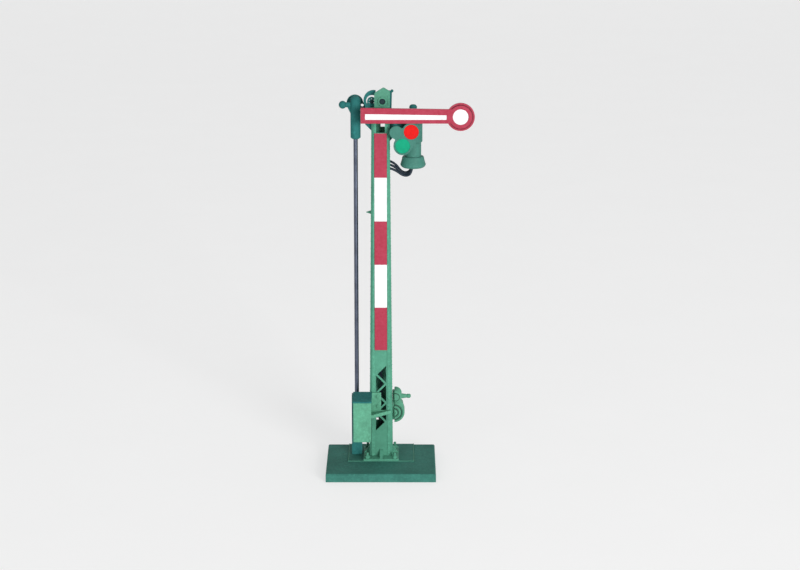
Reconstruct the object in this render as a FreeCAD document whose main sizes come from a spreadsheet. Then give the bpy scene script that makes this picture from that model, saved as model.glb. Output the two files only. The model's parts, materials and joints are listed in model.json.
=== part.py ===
import FreeCAD, Part
import math
import os
import Sketcher

# Model signal mast: a tapered lattice mast on a flat base, with a home signal arm,
# a lamp with a two-colour spectacle, and a pull rod with its crank.
# Millimetres. X runs along the arm, Y away from the front, Z up.
# The origin is on the mast's axis, at the underside of the base.

Vector = FreeCAD.Vector

SIZES = {
    # base and its inserted plate
    "base_wide": 25.4, "base_front": 14.4, "base_back": 7.2, "base_thick": 2.0,
    "base_edge": 0.25, "insert_wide": 15.3, "insert_front": 5.5, "insert_thick": 1.0,
    "insert_proud": 0.1, "seat_gap": 0.06, "port_radius": 0.8, "lead_hole": 1.0,
    # mast foot
    "foot_wide": 8.2, "foot_front": 5.4, "foot_back": 4.1, "foot_thick": 0.4,
    "gusset_tall": 1.6, "gusset_thick": 0.7, "nut_radius": 0.6, "nut_tall": 0.6,
    "stud_tall": 1.35, "nut_inset": 0.9,
    # lattice mast
    "mast_foot_wide": 5.46, "mast_taper": 0.01655, "mast_top": 85.0, "mast_wall": 0.5,
    "mast_corner": 0.5, "panel_half": 1.47, "panel_deep": 0.14, "window_half": 1.2,
    "window_low": 8.4, "lace_pitch": 4.65, "lace_bar": 0.34, "upper_low": 28.3,
    "sight_half": 1.0, "sight_low": 79.3, "sight_high": 81.7, "rear_sight_low": 80.05,
    "rear_sight_half": 0.5, "low_sight_up": 10.0, "low_sight_half": 0.28,
    "lead_slot_half": 0.9, "lead_slot_low": 70.4, "lead_slot_high": 73.4,
    # board with its enamelled bands
    "board_wide": 2.85, "board_low": 28.3, "board_band": 10.18, "board_thick": 0.3,
    "enamel_thick": 0.06,
    # arm
    "pivot_up": 83.6, "shaft_radius": 0.5, "running_gap": 0.05, "bush_radius": 0.95,
    "blade_front": 5.3, "blade_thick": 0.7, "blade_left": 4.43, "blade_right": 15.0,
    "blade_low": 1.62, "blade_high": 1.92, "blade_narrowing": 0.3, "disc_along": 18.05,
    "disc_drop": 0.15, "disc_radius": 3.18, "disc_step": 0.55, "border_side": 0.98,
    "border_low": 0.84, "border_high": 1.36, "stripe_end": 14.9, "inlay_deep": 0.2,
    "white_radius": 1.76, "hub_radius": 1.25,
    # cap with its sheave
    "cap_thick": 0.5, "cap_low": 82.2, "cap_apex": 89.75, "cap_apex_side": 0.71,
    "cap_left": 1.4, "cap_left_up": 88.45, "cap_right": 2.15, "cap_right_up": 88.85,
    "cap_round": 0.5, "rear_cap_drop": 1.3, "rear_cap_shift": 0.3, "cap_bead": 0.32,
    "bead_low": 85.7, "bead_high": 88.0, "cap_knob": 0.33,
    "sheave_side": 0.43, "sheave_up": 86.55, "sheave_radius": 1.35, "sheave_wide": 0.8,
    "cap_axle_radius": 0.35, "cap_ring": 1.05, "cap_mouth": 0.68, "ring_proud": 0.3,
    # crank at the back of the mast, rod and rod head
    "crank_back": 2.75, "crank_thick": 0.8, "crank_hub": 1.3, "crank_eye": 1.9,
    "crank_band": 1.3, "crank_hole": 0.36, "crank_hole_reach": 4.36, "rod_side": 5.7,
    "rod_back": 0.6, "rod_radius": 0.5, "rod_low": 7.2, "pin_rest_angle": 16.0,
    "pin_radius": 0.4, "pin_play": 0.17, "pin_seat": 0.5, "arm_swing": 45.0,
    "head_radius": 1.15, "head_low": 77.5, "head_high": 87.2, "head_socket": 1.5,
    "knob_side": 8.6, "knob_up": 85.3, "knob_radius": 0.9, "knob_neck": 0.58,
    # drive box, its bracket and the rod's guide
    "box_left": 6.4, "box_right": 2.25, "box_front": 8.5, "box_back": 3.1,
    "box_low": 7.7, "box_high": 17.2, "box_wall": 0.5, "lid_thick": 0.35,
    "lid_rise": 0.8, "lid_lap": 0.1, "plate_low": 13.92, "plate_high": 18.05,
    "ledge_up": 13.0, "ledge_thick": 0.75, "ledge_front": 7.0, "ledge_side": 2.3,
    "ledge_bar": 0.55, "screw_side": 0.75, "screw_radius": 0.4, "screw_inset": 0.85,
    "guide_wide": 2.4, "guide_high": 16.5, "guide_gap": 0.12, "strap_tall": 1.6,
    "strap_half": 0.4,
    # winch on the right side
    "winch_plate": 0.45, "winch_low": 10.9, "winch_high": 17.6, "winch_deep": 2.6,
    "coil_side": 3.0, "coil_up": 12.8, "coil_radius": 2.5, "coil_front": 1.95,
    "drum_side": 3.4, "drum_up": 16.7, "drum_radius": 1.35, "drum_front": 2.1,
    "neck_front": 1.5, "neck_back": 1.1,
    "handle_end": 6.95, "handle_drop": 0.35,
    # hoist pulley bracket on the left side
    "ear_side": 3.5, "ear_low": 79.6, "ear_inner": 1.1, "ear_thick": 0.6,
    "arch_side": 1.55, "arch_up": 86.5, "arch_radius": 2.3, "mouth_side": 1.9,
    "mouth_up": 86.35, "mouth_radius": 1.35, "strut_half": 0.45, "strut_thick": 0.35,
    "pulley_side": 2.0, "pulley_up": 86.2, "pulley_radius": 1.05, "pulley_wide": 0.5,
    "pulley_pin_radius": 0.25, "spoke_hole": 0.1, "spoke_reach": 0.62,
    # lamp
    "lamp_side": 7.4, "lamp_radius": 2.13, "lamp_low": 77.06, "lamp_high": 82.6,
    "lamp_roof": 0.9, "neck_radius": 1.85, "neck_low": 73.6, "flare_top": 2.37,
    "flare_radius": 2.9, "flare_low": 71.0, "flare_rim": 71.8, "lamp_wall": 0.35,
    "chimney_radius": 0.62, "chimney_cap": 0.88, "chimney_high": 85.45,
    "nozzle_radius": 1.75, "nozzle_front": 2.5, "arm_of_lamp_low": 78.7,
    "arm_of_lamp_high": 81.9, "arm_of_lamp_half": 0.8, "lamp_rib": 1.6,
    "bulb_radius": 1.0, "holder_tall": 1.4, "wire_radius": 0.28, "wire_aside": 0.58,
    "wire_lift": 0.72, "lead_back": 1.3,
    # spectacle with its link
    "eye_side": 3.54, "eye_up": 79.7, "glass_reach": 3.43, "glass_radius": 1.7,
    "red_angle": 2.0, "rim_wide": 0.38, "boss_radius": 1.5, "neck_half": 0.95,
    "spectacle_back": 3.25, "spectacle_thick": 0.7, "glass_thick": 0.35,
    "stud_radius": 0.3, "stud_seat": 0.6,
    "link_back": 2.75, "link_thick": 0.4, "link_half": 0.3, "link_eye": 0.75,
    "link_pin_radius": 0.28, "link_play": 0.17, "crank_reach": 2.72,
    "spectacle_swing": 66.4,
    # small peg on the left side
    "peg_up": 60.5, "peg_reach": 1.1, "peg_radius": 0.42,
}

doc = FreeCAD.newDocument("SignalMast")
sheet = doc.addObject("Spreadsheet::Sheet", "Sizes")
for row, (name, value) in enumerate(SIZES.items(), start=1):
    sheet.set(f"A{row}", name)
    sheet.set(f"B{row}", str(value))
    sheet.setAlias(f"B{row}", name)
doc.recompute()


class Size:
    """A number together with the expression that gives it from the sheet."""

    def __init__(self, number, text):
        self.number = number
        self.text = text

    def __add__(self, other):
        other = size(other)
        return Size(self.number + other.number, f"({self.text} + {other.text})")

    def __sub__(self, other):
        other = size(other)
        return Size(self.number - other.number, f"({self.text} - {other.text})")

    def __mul__(self, other):
        other = size(other)
        return Size(self.number * other.number, f"({self.text} * {other.text})")

    def __truediv__(self, other):
        other = size(other)
        return Size(self.number / other.number, f"({self.text} / {other.text})")

    def __neg__(self):
        return Size(-self.number, f"(0 - {self.text})")

    def __radd__(self, other):
        return size(other) + self

    def __rsub__(self, other):
        return size(other) - self

    def __rmul__(self, other):
        return size(other) * self


def size(value):
    """A Size from a Size or from a plain number."""
    if isinstance(value, Size):
        return value
    return Size(float(value), f"({float(value):.6f})")


def sine(angle):
    angle = size(angle)
    return Size(math.sin(math.radians(angle.number)), f"sin({angle.text})")


def cosine(angle):
    angle = size(angle)
    return Size(math.cos(math.radians(angle.number)), f"cos({angle.text})")


class Sheet:
    """Gives every alias of the sheet as a Size: s.base_wide and so on."""

    def __getattr__(self, name):
        return Size(SIZES[name], f"Sizes.{name}")


s = Sheet()

# ---------------------------------------------------------------- building tools


def new_body(name):
    body = doc.addObject("PartDesign::Body", name)
    body.Label = name
    return body


def bind(item, prop, value):
    item.setExpression(prop, size(value).text)


PLANES = {"top": "XY_Plane", "front": "XZ_Plane", "side": "YZ_Plane"}


def place(plane, x, y, z):
    """The sketch's own offsets for a point of the object."""
    if plane == "top":
        return (x, y, z)
    if plane == "front":
        return (x, z, -size(y))
    return (y, z, x)


def sketch_on(body, plane, x=0, y=0, z=0):
    """A sketch on one of the body's origin planes, moved to a point."""
    sketch = body.newObject("Sketcher::SketchObject", "Sketch")
    for item in body.Origin.OriginFeatures:
        if item.Role == PLANES[plane]:
            sketch.AttachmentSupport = (item, [""])
    sketch.MapMode = "FlatFace"
    for axis, value in zip("xyz", place(plane, x, y, z)):
        value = size(value)
        bind(sketch, f"AttachmentOffset.Base.{axis}", value)
    return sketch


def constrain(sketch, kind, edge, end, value):
    value = size(value)
    if kind == "Radius":
        index = sketch.addConstraint(Sketcher.Constraint(kind, edge, value.number))
    else:
        index = sketch.addConstraint(Sketcher.Constraint(kind, edge, end, value.number))
    sketch.setExpression(f"Constraints[{index}]", value.text)


def draw_polygon(sketch, points):
    """A closed outline with every corner held by two dimensions."""
    points = [(size(a), size(b)) for a, b in points]
    corners = [Vector(a.number, b.number, 0) for a, b in points]
    first = sketch.GeometryCount
    count = len(corners)
    for i in range(count):
        line = Part.LineSegment(corners[i], corners[(i + 1) % count])
        sketch.addGeometry(line, False)
    for i in range(count):
        after = first + (i + 1) % count
        sketch.addConstraint(Sketcher.Constraint("Coincident", first + i, 2, after, 1))
    for i, (a, b) in enumerate(points):
        constrain(sketch, "DistanceX", first + i, 1, a)
        constrain(sketch, "DistanceY", first + i, 1, b)


def draw_circle(sketch, a, b, radius):
    a, b, radius = size(a), size(b), size(radius)
    centre = Vector(a.number, b.number, 0)
    circle = Part.Circle(centre, Vector(0, 0, 1), radius.number)
    edge = sketch.addGeometry(circle, False)
    constrain(sketch, "DistanceX", edge, 3, a)
    constrain(sketch, "DistanceY", edge, 3, b)
    constrain(sketch, "Radius", edge, 0, radius)


def draw(sketch, shapes):
    """Shapes are polygons (lists of corners) or circles (a, b, radius)."""
    for shape in shapes:
        if isinstance(shape, list):
            draw_polygon(sketch, shape)
        else:
            draw_circle(sketch, *shape)


def slab(body, plane, shapes, low, high, cut=False):
    """Adds or cuts the shapes between two levels along the plane's own axis."""
    low, high = size(low), size(high)
    if plane == "front":
        sketch = sketch_on(body, plane, y=high)
    elif plane == "top":
        sketch = sketch_on(body, plane, z=low)
    else:
        sketch = sketch_on(body, plane, x=low)
    draw(sketch, shapes)
    if cut:
        feature = body.newObject("PartDesign::Pocket", "Cut")
        feature.Profile = sketch
        feature.Reversed = True
    else:
        feature = body.newObject("PartDesign::Pad", "Slab")
        feature.Profile = sketch
    bind(feature, "Length", high - low)
    doc.recompute()
    return feature


def turned(body, axis, x, y, z, profile, cut=False):
    """Turns a profile of (along, radius) points about an axis through a point."""
    plane = "side" if axis == "Y" else "front"
    sketch = sketch_on(body, plane, x, y, z)
    if axis == "Z":
        draw_polygon(sketch, [(radius, along) for along, radius in profile])
    else:
        draw_polygon(sketch, profile)
    kind = "PartDesign::Groove" if cut else "PartDesign::Revolution"
    feature = body.newObject(kind, "Turned")
    feature.Profile = sketch
    feature.ReferenceAxis = (sketch, ["V_Axis" if axis == "Z" else "H_Axis"])
    feature.Angle = 360
    doc.recompute()
    return feature


def rectangle(left, right, low, high):
    return [(left, low), (right, low), (right, high), (left, high)]


def soften(body, kind, value, choose):
    """Fillets or chamfers the edges that the test picks out of the tip."""
    base = body.Tip
    names = [f"Edge{i + 1}" for i, edge in enumerate(base.Shape.Edges) if choose(edge)]
    feature = body.newObject(f"PartDesign::{kind}", kind)
    feature.Base = (base, names)
    bind(feature, "Radius" if kind == "Fillet" else "Size", value)
    doc.recompute()
    return feature


# ---------------------------------------------------------------- shared places

base_top = s.base_thick
foot_top = s.base_thick + s.insert_proud + s.foot_thick
rod_x = -s.rod_side
blade_back = s.blade_thick - s.blade_front
crank_rear = s.crank_back + s.crank_thick
eye_x = s.eye_side
insert_top = s.base_thick + s.insert_proud
swing_mid = s.spectacle_swing / 2
arm_mid = s.arm_swing / 2


def mast_half(up):
    """Half the mast's width at a height: it narrows towards the top."""
    return s.mast_foot_wide / 2 - s.mast_taper / 2 * (size(up) - foot_top)


# ---------------------------------------------------------------- base


def base_plate():
    body = new_body("base_plate")
    half = s.base_wide / 2
    slab(body, "top", [rectangle(-half, half, -s.base_front, s.base_back)], 0, base_top)
    top = SIZES["base_thick"]
    soften(body, "Chamfer", s.base_edge,
           lambda e: e.BoundBox.ZMin > top - 0.01)
    side = s.insert_wide / 2 + s.seat_gap
    front = -s.insert_front - s.seat_gap
    recess = rectangle(-side, side, front, s.base_back + 1)
    slab(body, "top", [recess], base_top - s.insert_thick, base_top + 1, cut=True)
    holes = [(rod_x, s.rod_back, s.port_radius), (0, s.lead_back, s.lead_hole)]
    slab(body, "top", holes, -1, base_top, cut=True)
    return body


def base_insert():
    body = new_body("base_insert")
    half = s.insert_wide / 2
    plate = rectangle(-half, half, -s.insert_front, s.base_back - s.seat_gap)
    slab(body, "top", [plate], base_top - s.insert_thick, insert_top)
    holes = [(rod_x, s.rod_back, s.port_radius), (0, s.lead_back, s.lead_hole)]
    slab(body, "top", holes, 0, base_top + 1, cut=True)
    return body


def nut_places():
    side = s.foot_wide / 2 - s.nut_inset
    front = -s.foot_front + s.nut_inset
    back = s.foot_back - s.nut_inset
    return [(side, front), (-side, front), (side, back), (-side, back)]


def mast_foot():
    body = new_body("mast_foot")
    half = s.foot_wide / 2
    slab(body, "top", [rectangle(-half, half, -s.foot_front, s.foot_back)],
         insert_top, foot_top)
    slab(body, "top", [(0, s.lead_back, s.lead_hole)], 0, foot_top + 1, cut=True)
    wall = mast_half(foot_top)
    rise = foot_top + s.gusset_tall
    thick = s.gusset_thick / 2
    for sign in (-1, 1):
        rib = [(sign * wall, foot_top - 0.1), (sign * half, foot_top - 0.1),
               (sign * wall, rise)]
        slab(body, "front", [rib], -thick, thick)
    for face in (-1, 1):
        reach = s.foot_front if face < 0 else s.foot_back
        rib = [(face * wall, foot_top - 0.1), (face * reach, foot_top - 0.1),
               (face * wall, rise)]
        slab(body, "side", [rib], -thick, thick)
    return body


def hexagon(x, y, radius):
    return [(x + radius * cosine(60 * k), y + radius * sine(60 * k)) for k in range(6)]


def foot_bolts():
    """Four nuts on their studs."""
    body = new_body("foot_bolts")
    body.AllowCompound = True
    nuts = [hexagon(x, y, s.nut_radius) for x, y in nut_places()]
    slab(body, "top", nuts, foot_top, foot_top + s.nut_tall)
    studs = [(x, y, s.nut_radius / 2) for x, y in nut_places()]
    slab(body, "top", studs, foot_top, foot_top + s.stud_tall)
    return body


# ---------------------------------------------------------------- mast


def angle_ring(half):
    """Four corner angles with cut-off corners, their front and back panels set in."""
    cut = half - s.mast_corner
    edge = s.panel_half
    deep = half - s.panel_deep
    return [(-half, -cut), (-cut, -half), (-edge, -half), (-edge, -deep),
            (edge, -deep), (edge, -half), (cut, -half), (half, -cut),
            (half, cut), (cut, half), (edge, half), (edge, deep),
            (-edge, deep), (-edge, half), (-cut, half), (-half, cut)]


def square(half):
    return rectangle(-half, half, -half, half)


def tapered(body, kind, outline, low, high):
    """A loft between the outlines at two levels."""
    sections = []
    for level in (low, high):
        sketch = sketch_on(body, "top", z=level)
        draw(sketch, [outline(level)])
        sections.append(sketch)
    feature = body.newObject(kind, "Taper")
    feature.Profile = sections[0]
    feature.Sections = [sections[1]]
    feature.Ruled = True
    doc.recompute()
    return feature


def lace_windows(body, plane, low, bays, reach_low, reach_high):
    """Triangular windows between the zigzag lacing bars, bay over bay."""
    half = s.window_half
    gap = s.lace_bar * 0.75
    pitch = s.lace_pitch
    left = [(-half, low + gap), (half - s.lace_bar, low + pitch / 2),
            (-half, low + pitch - gap)]
    middle = low + pitch
    right = [(half, low + pitch / 2 + gap), (half, middle + pitch / 2 - gap),
             (s.lace_bar - half, middle)]
    shapes = [left]
    if bays > 1:
        shapes.append(right)
    first = slab(body, plane, shapes, reach_low, reach_high, cut=True)
    if bays < 3:
        return
    pattern = body.newObject("PartDesign::LinearPattern", "Bays")
    pattern.Originals = [first]
    sketch = first.Profile[0]
    pattern.Direction = (sketch, ["V_Axis"])
    bind(pattern, "Length", pitch * (bays - 2))
    pattern.Occurrences = bays - 1
    body.Tip = pattern
    doc.recompute()


def mast_column():
    body = new_body("mast_column")
    tapered(body, "PartDesign::AdditiveLoft", lambda z: angle_ring(mast_half(z)),
            foot_top, s.mast_top)
    tapered(body, "PartDesign::SubtractiveLoft", lambda z: square(mast_half(z) - s.mast_wall),
            foot_top - 1, s.mast_top + 1)
    lace_windows(body, "front", s.window_low, 4, -5, -0.5)
    lace_windows(body, "front", s.upper_low, 10, 0.5, 5)
    lace_windows(body, "side", s.window_low, 4, -5, 5)
    lace_windows(body, "side", s.upper_low, 9, -5, 5)
    sight = rectangle(-s.sight_half, s.sight_half, s.sight_low, s.sight_high)
    slab(body, "front", [sight], -5, -0.5, cut=True)
    half = s.rear_sight_half
    rear = rectangle(0, half * 2, s.rear_sight_low, s.sight_high)
    half = s.low_sight_half
    low_rear = rectangle(-s.window_half, half * 2 - s.window_half,
                         s.low_sight_up - half, s.low_sight_up + half)
    slab(body, "front", [rear, low_rear], 0.5, 5, cut=True)
    slot = rectangle(-s.lead_slot_half, s.lead_slot_half, s.lead_slot_low,
                     s.lead_slot_high)
    slab(body, "side", [slot], 0.5, 5, cut=True)
    bushes = [(0, s.pivot_up, s.bush_radius)]
    slab(body, "front", bushes, -5, 5, cut=True)
    return body


def leaning(body, half_wide, low, high, near, far):
    """A flat strip that leans along the mast's front panel."""
    low, high = size(low), size(high)
    foot = s.panel_deep - mast_half(low)
    head = s.panel_deep - mast_half(high)
    profile = [(foot - far, low), (foot - near, low), (head - near, high),
               (head - far, high)]
    slab(body, "side", [profile], -half_wide, half_wide)


def mast_board():
    body = new_body("mast_board")
    high = s.board_low + s.board_band * 5
    leaning(body, s.board_wide / 2, s.board_low, high, 0, s.board_thick)
    return body


def board_red_bands():
    body = new_body("board_red_bands")
    body.AllowCompound = True
    for number in (0, 2, 4):
        low = s.board_low + s.board_band * number
        near = s.board_thick
        leaning(body, s.board_wide / 2, low, low + s.board_band,
                near, near + s.enamel_thick)
    return body


def mast_peg():
    body = new_body("mast_peg")
    side = mast_half(s.peg_up)
    profile = [(-side, 0), (-side, s.peg_radius), (-side - s.peg_reach, 0.08),
               (-side - s.peg_reach, 0)]
    turned(body, "X", 0, 0, s.peg_up, profile)
    return body


# ---------------------------------------------------------------- cap


def cap_outline(shift, drop):
    """A pentagon: two upright sides under a pointed top."""
    return [(shift - s.cap_left, s.cap_low), (shift + s.cap_right, s.cap_low),
            (s.cap_right + shift + shift / 2, s.cap_right_up - drop / 2),
            (s.cap_apex_side + shift, s.cap_apex - drop),
            (shift - s.cap_left, s.cap_left_up - drop)]


def cap_plate(name, shift, drop, front):
    """One cheek of the cap, with its upper corners rounded."""
    body = new_body(name)
    slab(body, "front", [cap_outline(shift, drop)], front, front + s.cap_thick)
    low = SIZES["cap_low"] + 1
    soften(body, "Fillet", s.cap_round,
           lambda e: e.BoundBox.ZMin > low and e.BoundBox.ZLength < 0.01
           and e.BoundBox.XLength < 0.01)
    return body


def cap_front_plate():
    back = -mast_half(s.cap_low)
    front = back - s.cap_thick
    body = cap_plate("cap_front_plate", size(0), size(0), front)
    ring = [(s.sheave_side, s.sheave_up, s.cap_ring)]
    slab(body, "front", ring, front - s.ring_proud, front + 0.1)
    bead = rectangle(s.cap_right - s.cap_bead * 1.4, s.cap_right - s.cap_bead * 0.4,
                     s.bead_low, s.bead_high)
    slab(body, "front", [bead], front - s.ring_proud / 2, front + 0.1)
    mouth = [(s.sheave_side, s.sheave_up, s.cap_mouth)]
    slab(body, "front", mouth, front - 1, back - s.ring_proud, cut=True)
    cap_bores(body, front, back)
    return body


def cap_bores(body, low, high):
    bush = (0, s.pivot_up, s.bush_radius)
    axle = (s.sheave_side, s.sheave_up, s.cap_axle_radius)
    slab(body, "front", [bush, axle], low - 1, high + 1, cut=True)


def cap_rear_plate():
    front = mast_half(s.cap_low)
    body = cap_plate("cap_rear_plate", s.rear_cap_shift, s.rear_cap_drop, front)
    knob = (s.cap_right + s.rear_cap_shift * 1.5, s.cap_right_up - s.rear_cap_drop / 2,
            s.cap_knob)
    slab(body, "front", [knob], front, front + s.cap_thick)
    cap_bores(body, front, front + s.cap_thick)
    return body


def cap_sheave():
    body = new_body("cap_sheave")
    half = s.sheave_wide / 2
    rim = s.sheave_radius
    bore = s.cap_axle_radius + s.running_gap
    profile = [(-half, bore), (-half, rim), (-half * 0.7, rim), (0, rim * 0.72),
               (half * 0.7, rim), (half, rim), (half, bore)]
    turned(body, "Y", s.sheave_side, 0, s.sheave_up, profile)
    return body


def cap_axle():
    body = new_body("cap_axle")
    wall = mast_half(s.cap_low)
    front = -wall - s.ring_proud
    slab(body, "front", [(s.sheave_side, s.sheave_up, s.cap_axle_radius)], front,
         wall + s.cap_thick)
    head = [(s.sheave_side, s.sheave_up, s.cap_mouth - s.seat_gap)]
    slab(body, "front", head, front - s.ring_proud / 2, front)
    return body


def shaft_bushes():
    """A bush in the front wall and one in the back wall."""
    body = new_body("shaft_bushes")
    body.AllowCompound = True
    outer = mast_half(s.cap_low) + s.cap_thick
    inner = outer - s.cap_thick - s.mast_wall - s.panel_deep
    ring = [(0, s.pivot_up, s.bush_radius), (0, s.pivot_up, s.shaft_radius + s.running_gap)]
    slab(body, "front", ring, -outer, -inner)
    slab(body, "front", ring, inner, outer)
    return body


# ---------------------------------------------------------------- hoist pulley


pulley_at = (-s.pulley_side, s.pulley_up)


def pulley_bracket():
    """An arched plate over the pulley, pointed at its lower end, with a rear strut."""
    body = new_body("pulley_bracket")
    wall = mast_half(s.ear_low)
    top_wall = mast_half(s.mast_top)
    front, back = -s.ear_thick, size(0)
    ear = [(-wall, s.ear_low), (-top_wall, s.mast_top), (-top_wall, s.arch_up),
           (-s.ear_side, s.arch_up), (-s.ear_side, s.ear_low + 1.4)]
    slab(body, "front", [ear], front, back)
    slab(body, "front", [(-s.arch_side, s.arch_up, s.arch_radius)], front, back)
    mouth = [(-s.mouth_side, s.mouth_up, s.mouth_radius)]
    slab(body, "front", mouth, front - 1, back + 1, cut=True)
    strut = rectangle(-s.pulley_side - s.strut_half, s.strut_half - s.pulley_side,
                      s.mast_top - 1, s.pulley_up + s.strut_half)
    slab(body, "front", [strut], back, s.strut_thick)
    high = s.mast_top + 6
    taken = [(-wall, s.ear_low), (-top_wall, s.mast_top), (-s.ear_inner, s.mast_top),
             (-s.ear_inner, high), (3, high), (3, s.ear_low)]
    slab(body, "front", [taken], front - 1, back + 1, cut=True)
    pin = [(*pulley_at, s.pulley_pin_radius)]
    slab(body, "front", pin, front - 1, back + 1, cut=True)
    return body


def hoist_pulley():
    """A grooved wheel with six round holes between its spokes."""
    body = new_body("hoist_pulley")
    back = -s.running_gap
    front = back - s.pulley_wide
    rim = s.pulley_radius
    bore = s.pulley_pin_radius + s.running_gap
    profile = [(front, bore), (front, rim), ((front + back) / 2, rim * 0.84),
               (back, rim), (back, bore)]
    turned(body, "Y", -s.pulley_side, 0, s.pulley_up, profile)
    holes = [(s.spoke_reach * cosine(60 * k + 30) - s.pulley_side,
              s.spoke_reach * sine(60 * k + 30) + s.pulley_up, s.spoke_hole)
             for k in range(6)]
    slab(body, "front", holes, front - 1, back + 1, cut=True)
    return body


def pulley_pin():
    body = new_body("pulley_pin")
    face = -s.pulley_wide - s.running_gap * 2
    shank = [(*pulley_at, s.pulley_pin_radius)]
    slab(body, "front", shank, face, s.strut_thick)
    slab(body, "front", [(*pulley_at, s.pulley_pin_radius * 1.6)], face - 0.2, face)
    return body


# ---------------------------------------------------------------- arm


blade_foot = s.pivot_up - s.blade_low
disc_up = s.pivot_up - s.disc_drop


def blade_head(along):
    """The blade's upper edge comes down a little to the right."""
    share = (size(along) + s.blade_left) / (s.blade_right + s.blade_left)
    return s.pivot_up + s.blade_high - s.blade_narrowing * share


def blade_strip(left, right, inset_low, inset_high):
    left, right = size(left), size(right)
    return [(left, blade_foot + inset_low), (right, blade_foot + inset_low),
            (right, blade_head(right) - inset_high),
            (left, blade_head(left) - inset_high)]


def arm_stripe_outline():
    return blade_strip(s.border_side - s.blade_left, s.stripe_end, s.border_low,
                       s.border_high)


def arm_blade():
    body = new_body("arm_blade")
    face = -s.blade_front
    disc = s.disc_radius
    blade_end = s.disc_along - disc * 0.5
    step = s.inlay_deep
    slab(body, "front", [blade_strip(-s.blade_left, blade_end, 0, 0)], face, blade_back)
    slab(body, "front", [(s.disc_along, disc_up, disc - s.disc_step)], face, blade_back)
    slab(body, "front", [(s.disc_along, disc_up, disc)], face + step, blade_back)
    white = (s.disc_along, disc_up, s.white_radius)
    slab(body, "front", [arm_stripe_outline(), white], face - 1, face + s.inlay_deep, cut=True)
    shaft = [(0, s.pivot_up, s.shaft_radius)]
    slab(body, "front", shaft, face + s.inlay_deep + 0.1, blade_back + 1, cut=True)
    return body


def arm_stripe():
    body = new_body("arm_stripe")
    face = -s.blade_front
    slab(body, "front", [arm_stripe_outline()], face + s.inlay_deep - s.enamel_thick,
         face + s.inlay_deep)
    return body


def arm_white_disc():
    body = new_body("arm_white_disc")
    face = -s.blade_front
    slab(body, "front", [(s.disc_along, disc_up, s.white_radius)],
         face + s.inlay_deep - s.enamel_thick, face + s.inlay_deep)
    return body


def arm_hub():
    """The boss that stiffens the blade where the shaft joins it."""
    body = new_body("arm_hub")
    reach = mast_half(s.cap_low) + s.cap_thick + s.pin_play
    ring = [(0, s.pivot_up, s.hub_radius), (0, s.pivot_up, s.shaft_radius)]
    slab(body, "front", ring, blade_back, -reach)
    return body


def arm_shaft():
    body = new_body("arm_shaft")
    front = -s.blade_front + s.inlay_deep + 0.1
    slab(body, "front", [(0, s.pivot_up, s.shaft_radius)], front, crank_rear + 0.25)
    return body


def crank_lever():
    """The lever behind the mast, with a slotted round eye for the rod's pin."""
    body = new_body("crank_lever")
    angle = s.pin_rest_angle
    inner = s.rod_side
    outer = s.rod_side / cosine(s.arm_swing - angle)
    middle = (inner + outer) / 2
    play = s.pin_radius + s.pin_play

    def along(reach, side):
        return (-reach * cosine(angle) + side * sine(angle),
                s.pivot_up + reach * sine(angle) + side * cosine(angle))

    band = s.crank_band / 2
    arm = [along(0, -band), along(middle, -band), along(middle, band), along(0, band)]
    rear, front = crank_rear, s.crank_back
    slab(body, "front", [arm], front, rear)
    slab(body, "front", [(0, s.pivot_up, s.crank_hub)], front, rear)
    slab(body, "front", [(*along(middle, 0), s.crank_eye)], front, rear)
    slot = [along(inner - play, -play), along(outer + play, -play),
            along(outer + play, play), along(inner - play, play)]
    slab(body, "front", [slot], front - 1, rear + 1, cut=True)
    shaft = (0, s.pivot_up, s.shaft_radius)
    light = (*along(s.crank_hole_reach, 0), s.crank_hole)
    slab(body, "front", [shaft, light], front - 1, rear + 1, cut=True)
    return body


# ---------------------------------------------------------------- rod

pin_up = s.pivot_up + s.rod_side * sine(s.pin_rest_angle) / cosine(s.pin_rest_angle)


def pull_rod():
    body = new_body("pull_rod")
    slab(body, "top", [(rod_x, s.rod_back, s.rod_radius)], s.rod_low,
         s.head_low + s.head_socket)
    low = SIZES["rod_low"]
    soften(body, "Chamfer", 0.15, lambda e: e.BoundBox.ZMax < low + 0.01)
    return body


def rod_head():
    body = new_body("rod_head")
    r = s.head_radius
    low, high = s.head_low, s.head_high
    profile = [(low, 0), (low, r - 0.35), (low + 0.3, r), (high - 0.5, r),
               (high, r - 0.45), (high, 0)]
    turned(body, "Z", rod_x, s.rod_back, 0, profile)
    bore = [(rod_x, s.rod_back, s.rod_radius)]
    slab(body, "top", bore, low - 1, low + s.head_socket, cut=True)
    front = s.rod_back + r - s.pin_seat
    slab(body, "front", [(rod_x, pin_up, s.pin_radius)], front, front + r, cut=True)
    return body


def head_knob():
    """A ball on a short neck, cast on the outer side of the head."""
    body = new_body("head_knob")
    r = s.knob_radius
    steps = 12
    ball = [(-s.knob_side - r * cosine(180 / steps * k), r * sine(180 / steps * k))
            for k in range(steps - 1)]
    neck_end = rod_x - s.head_radius + 0.05
    profile = [*ball, (-s.knob_side + r * 0.8, s.knob_neck),
               (neck_end, s.knob_neck), (neck_end, 0)]
    turned(body, "X", 0, s.rod_back, s.knob_up, profile)
    web = [(neck_end, s.knob_up), (-s.knob_side + r * 0.9, s.knob_up),
           (neck_end, s.knob_up - 2.0)]
    slab(body, "front", [web], s.rod_back - 0.3, s.rod_back + 0.3)
    room = [(rod_x, s.rod_back, s.head_radius)]
    slab(body, "top", room, s.knob_up - 3, s.knob_up + 3, cut=True)
    return body


def head_pin():
    body = new_body("head_pin")
    front = s.rod_back + s.head_radius
    slab(body, "front", [(rod_x, pin_up, s.pin_radius)], front - s.pin_seat,
         crank_rear + 0.35)
    return body


# ---------------------------------------------------------------- drive box


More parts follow.
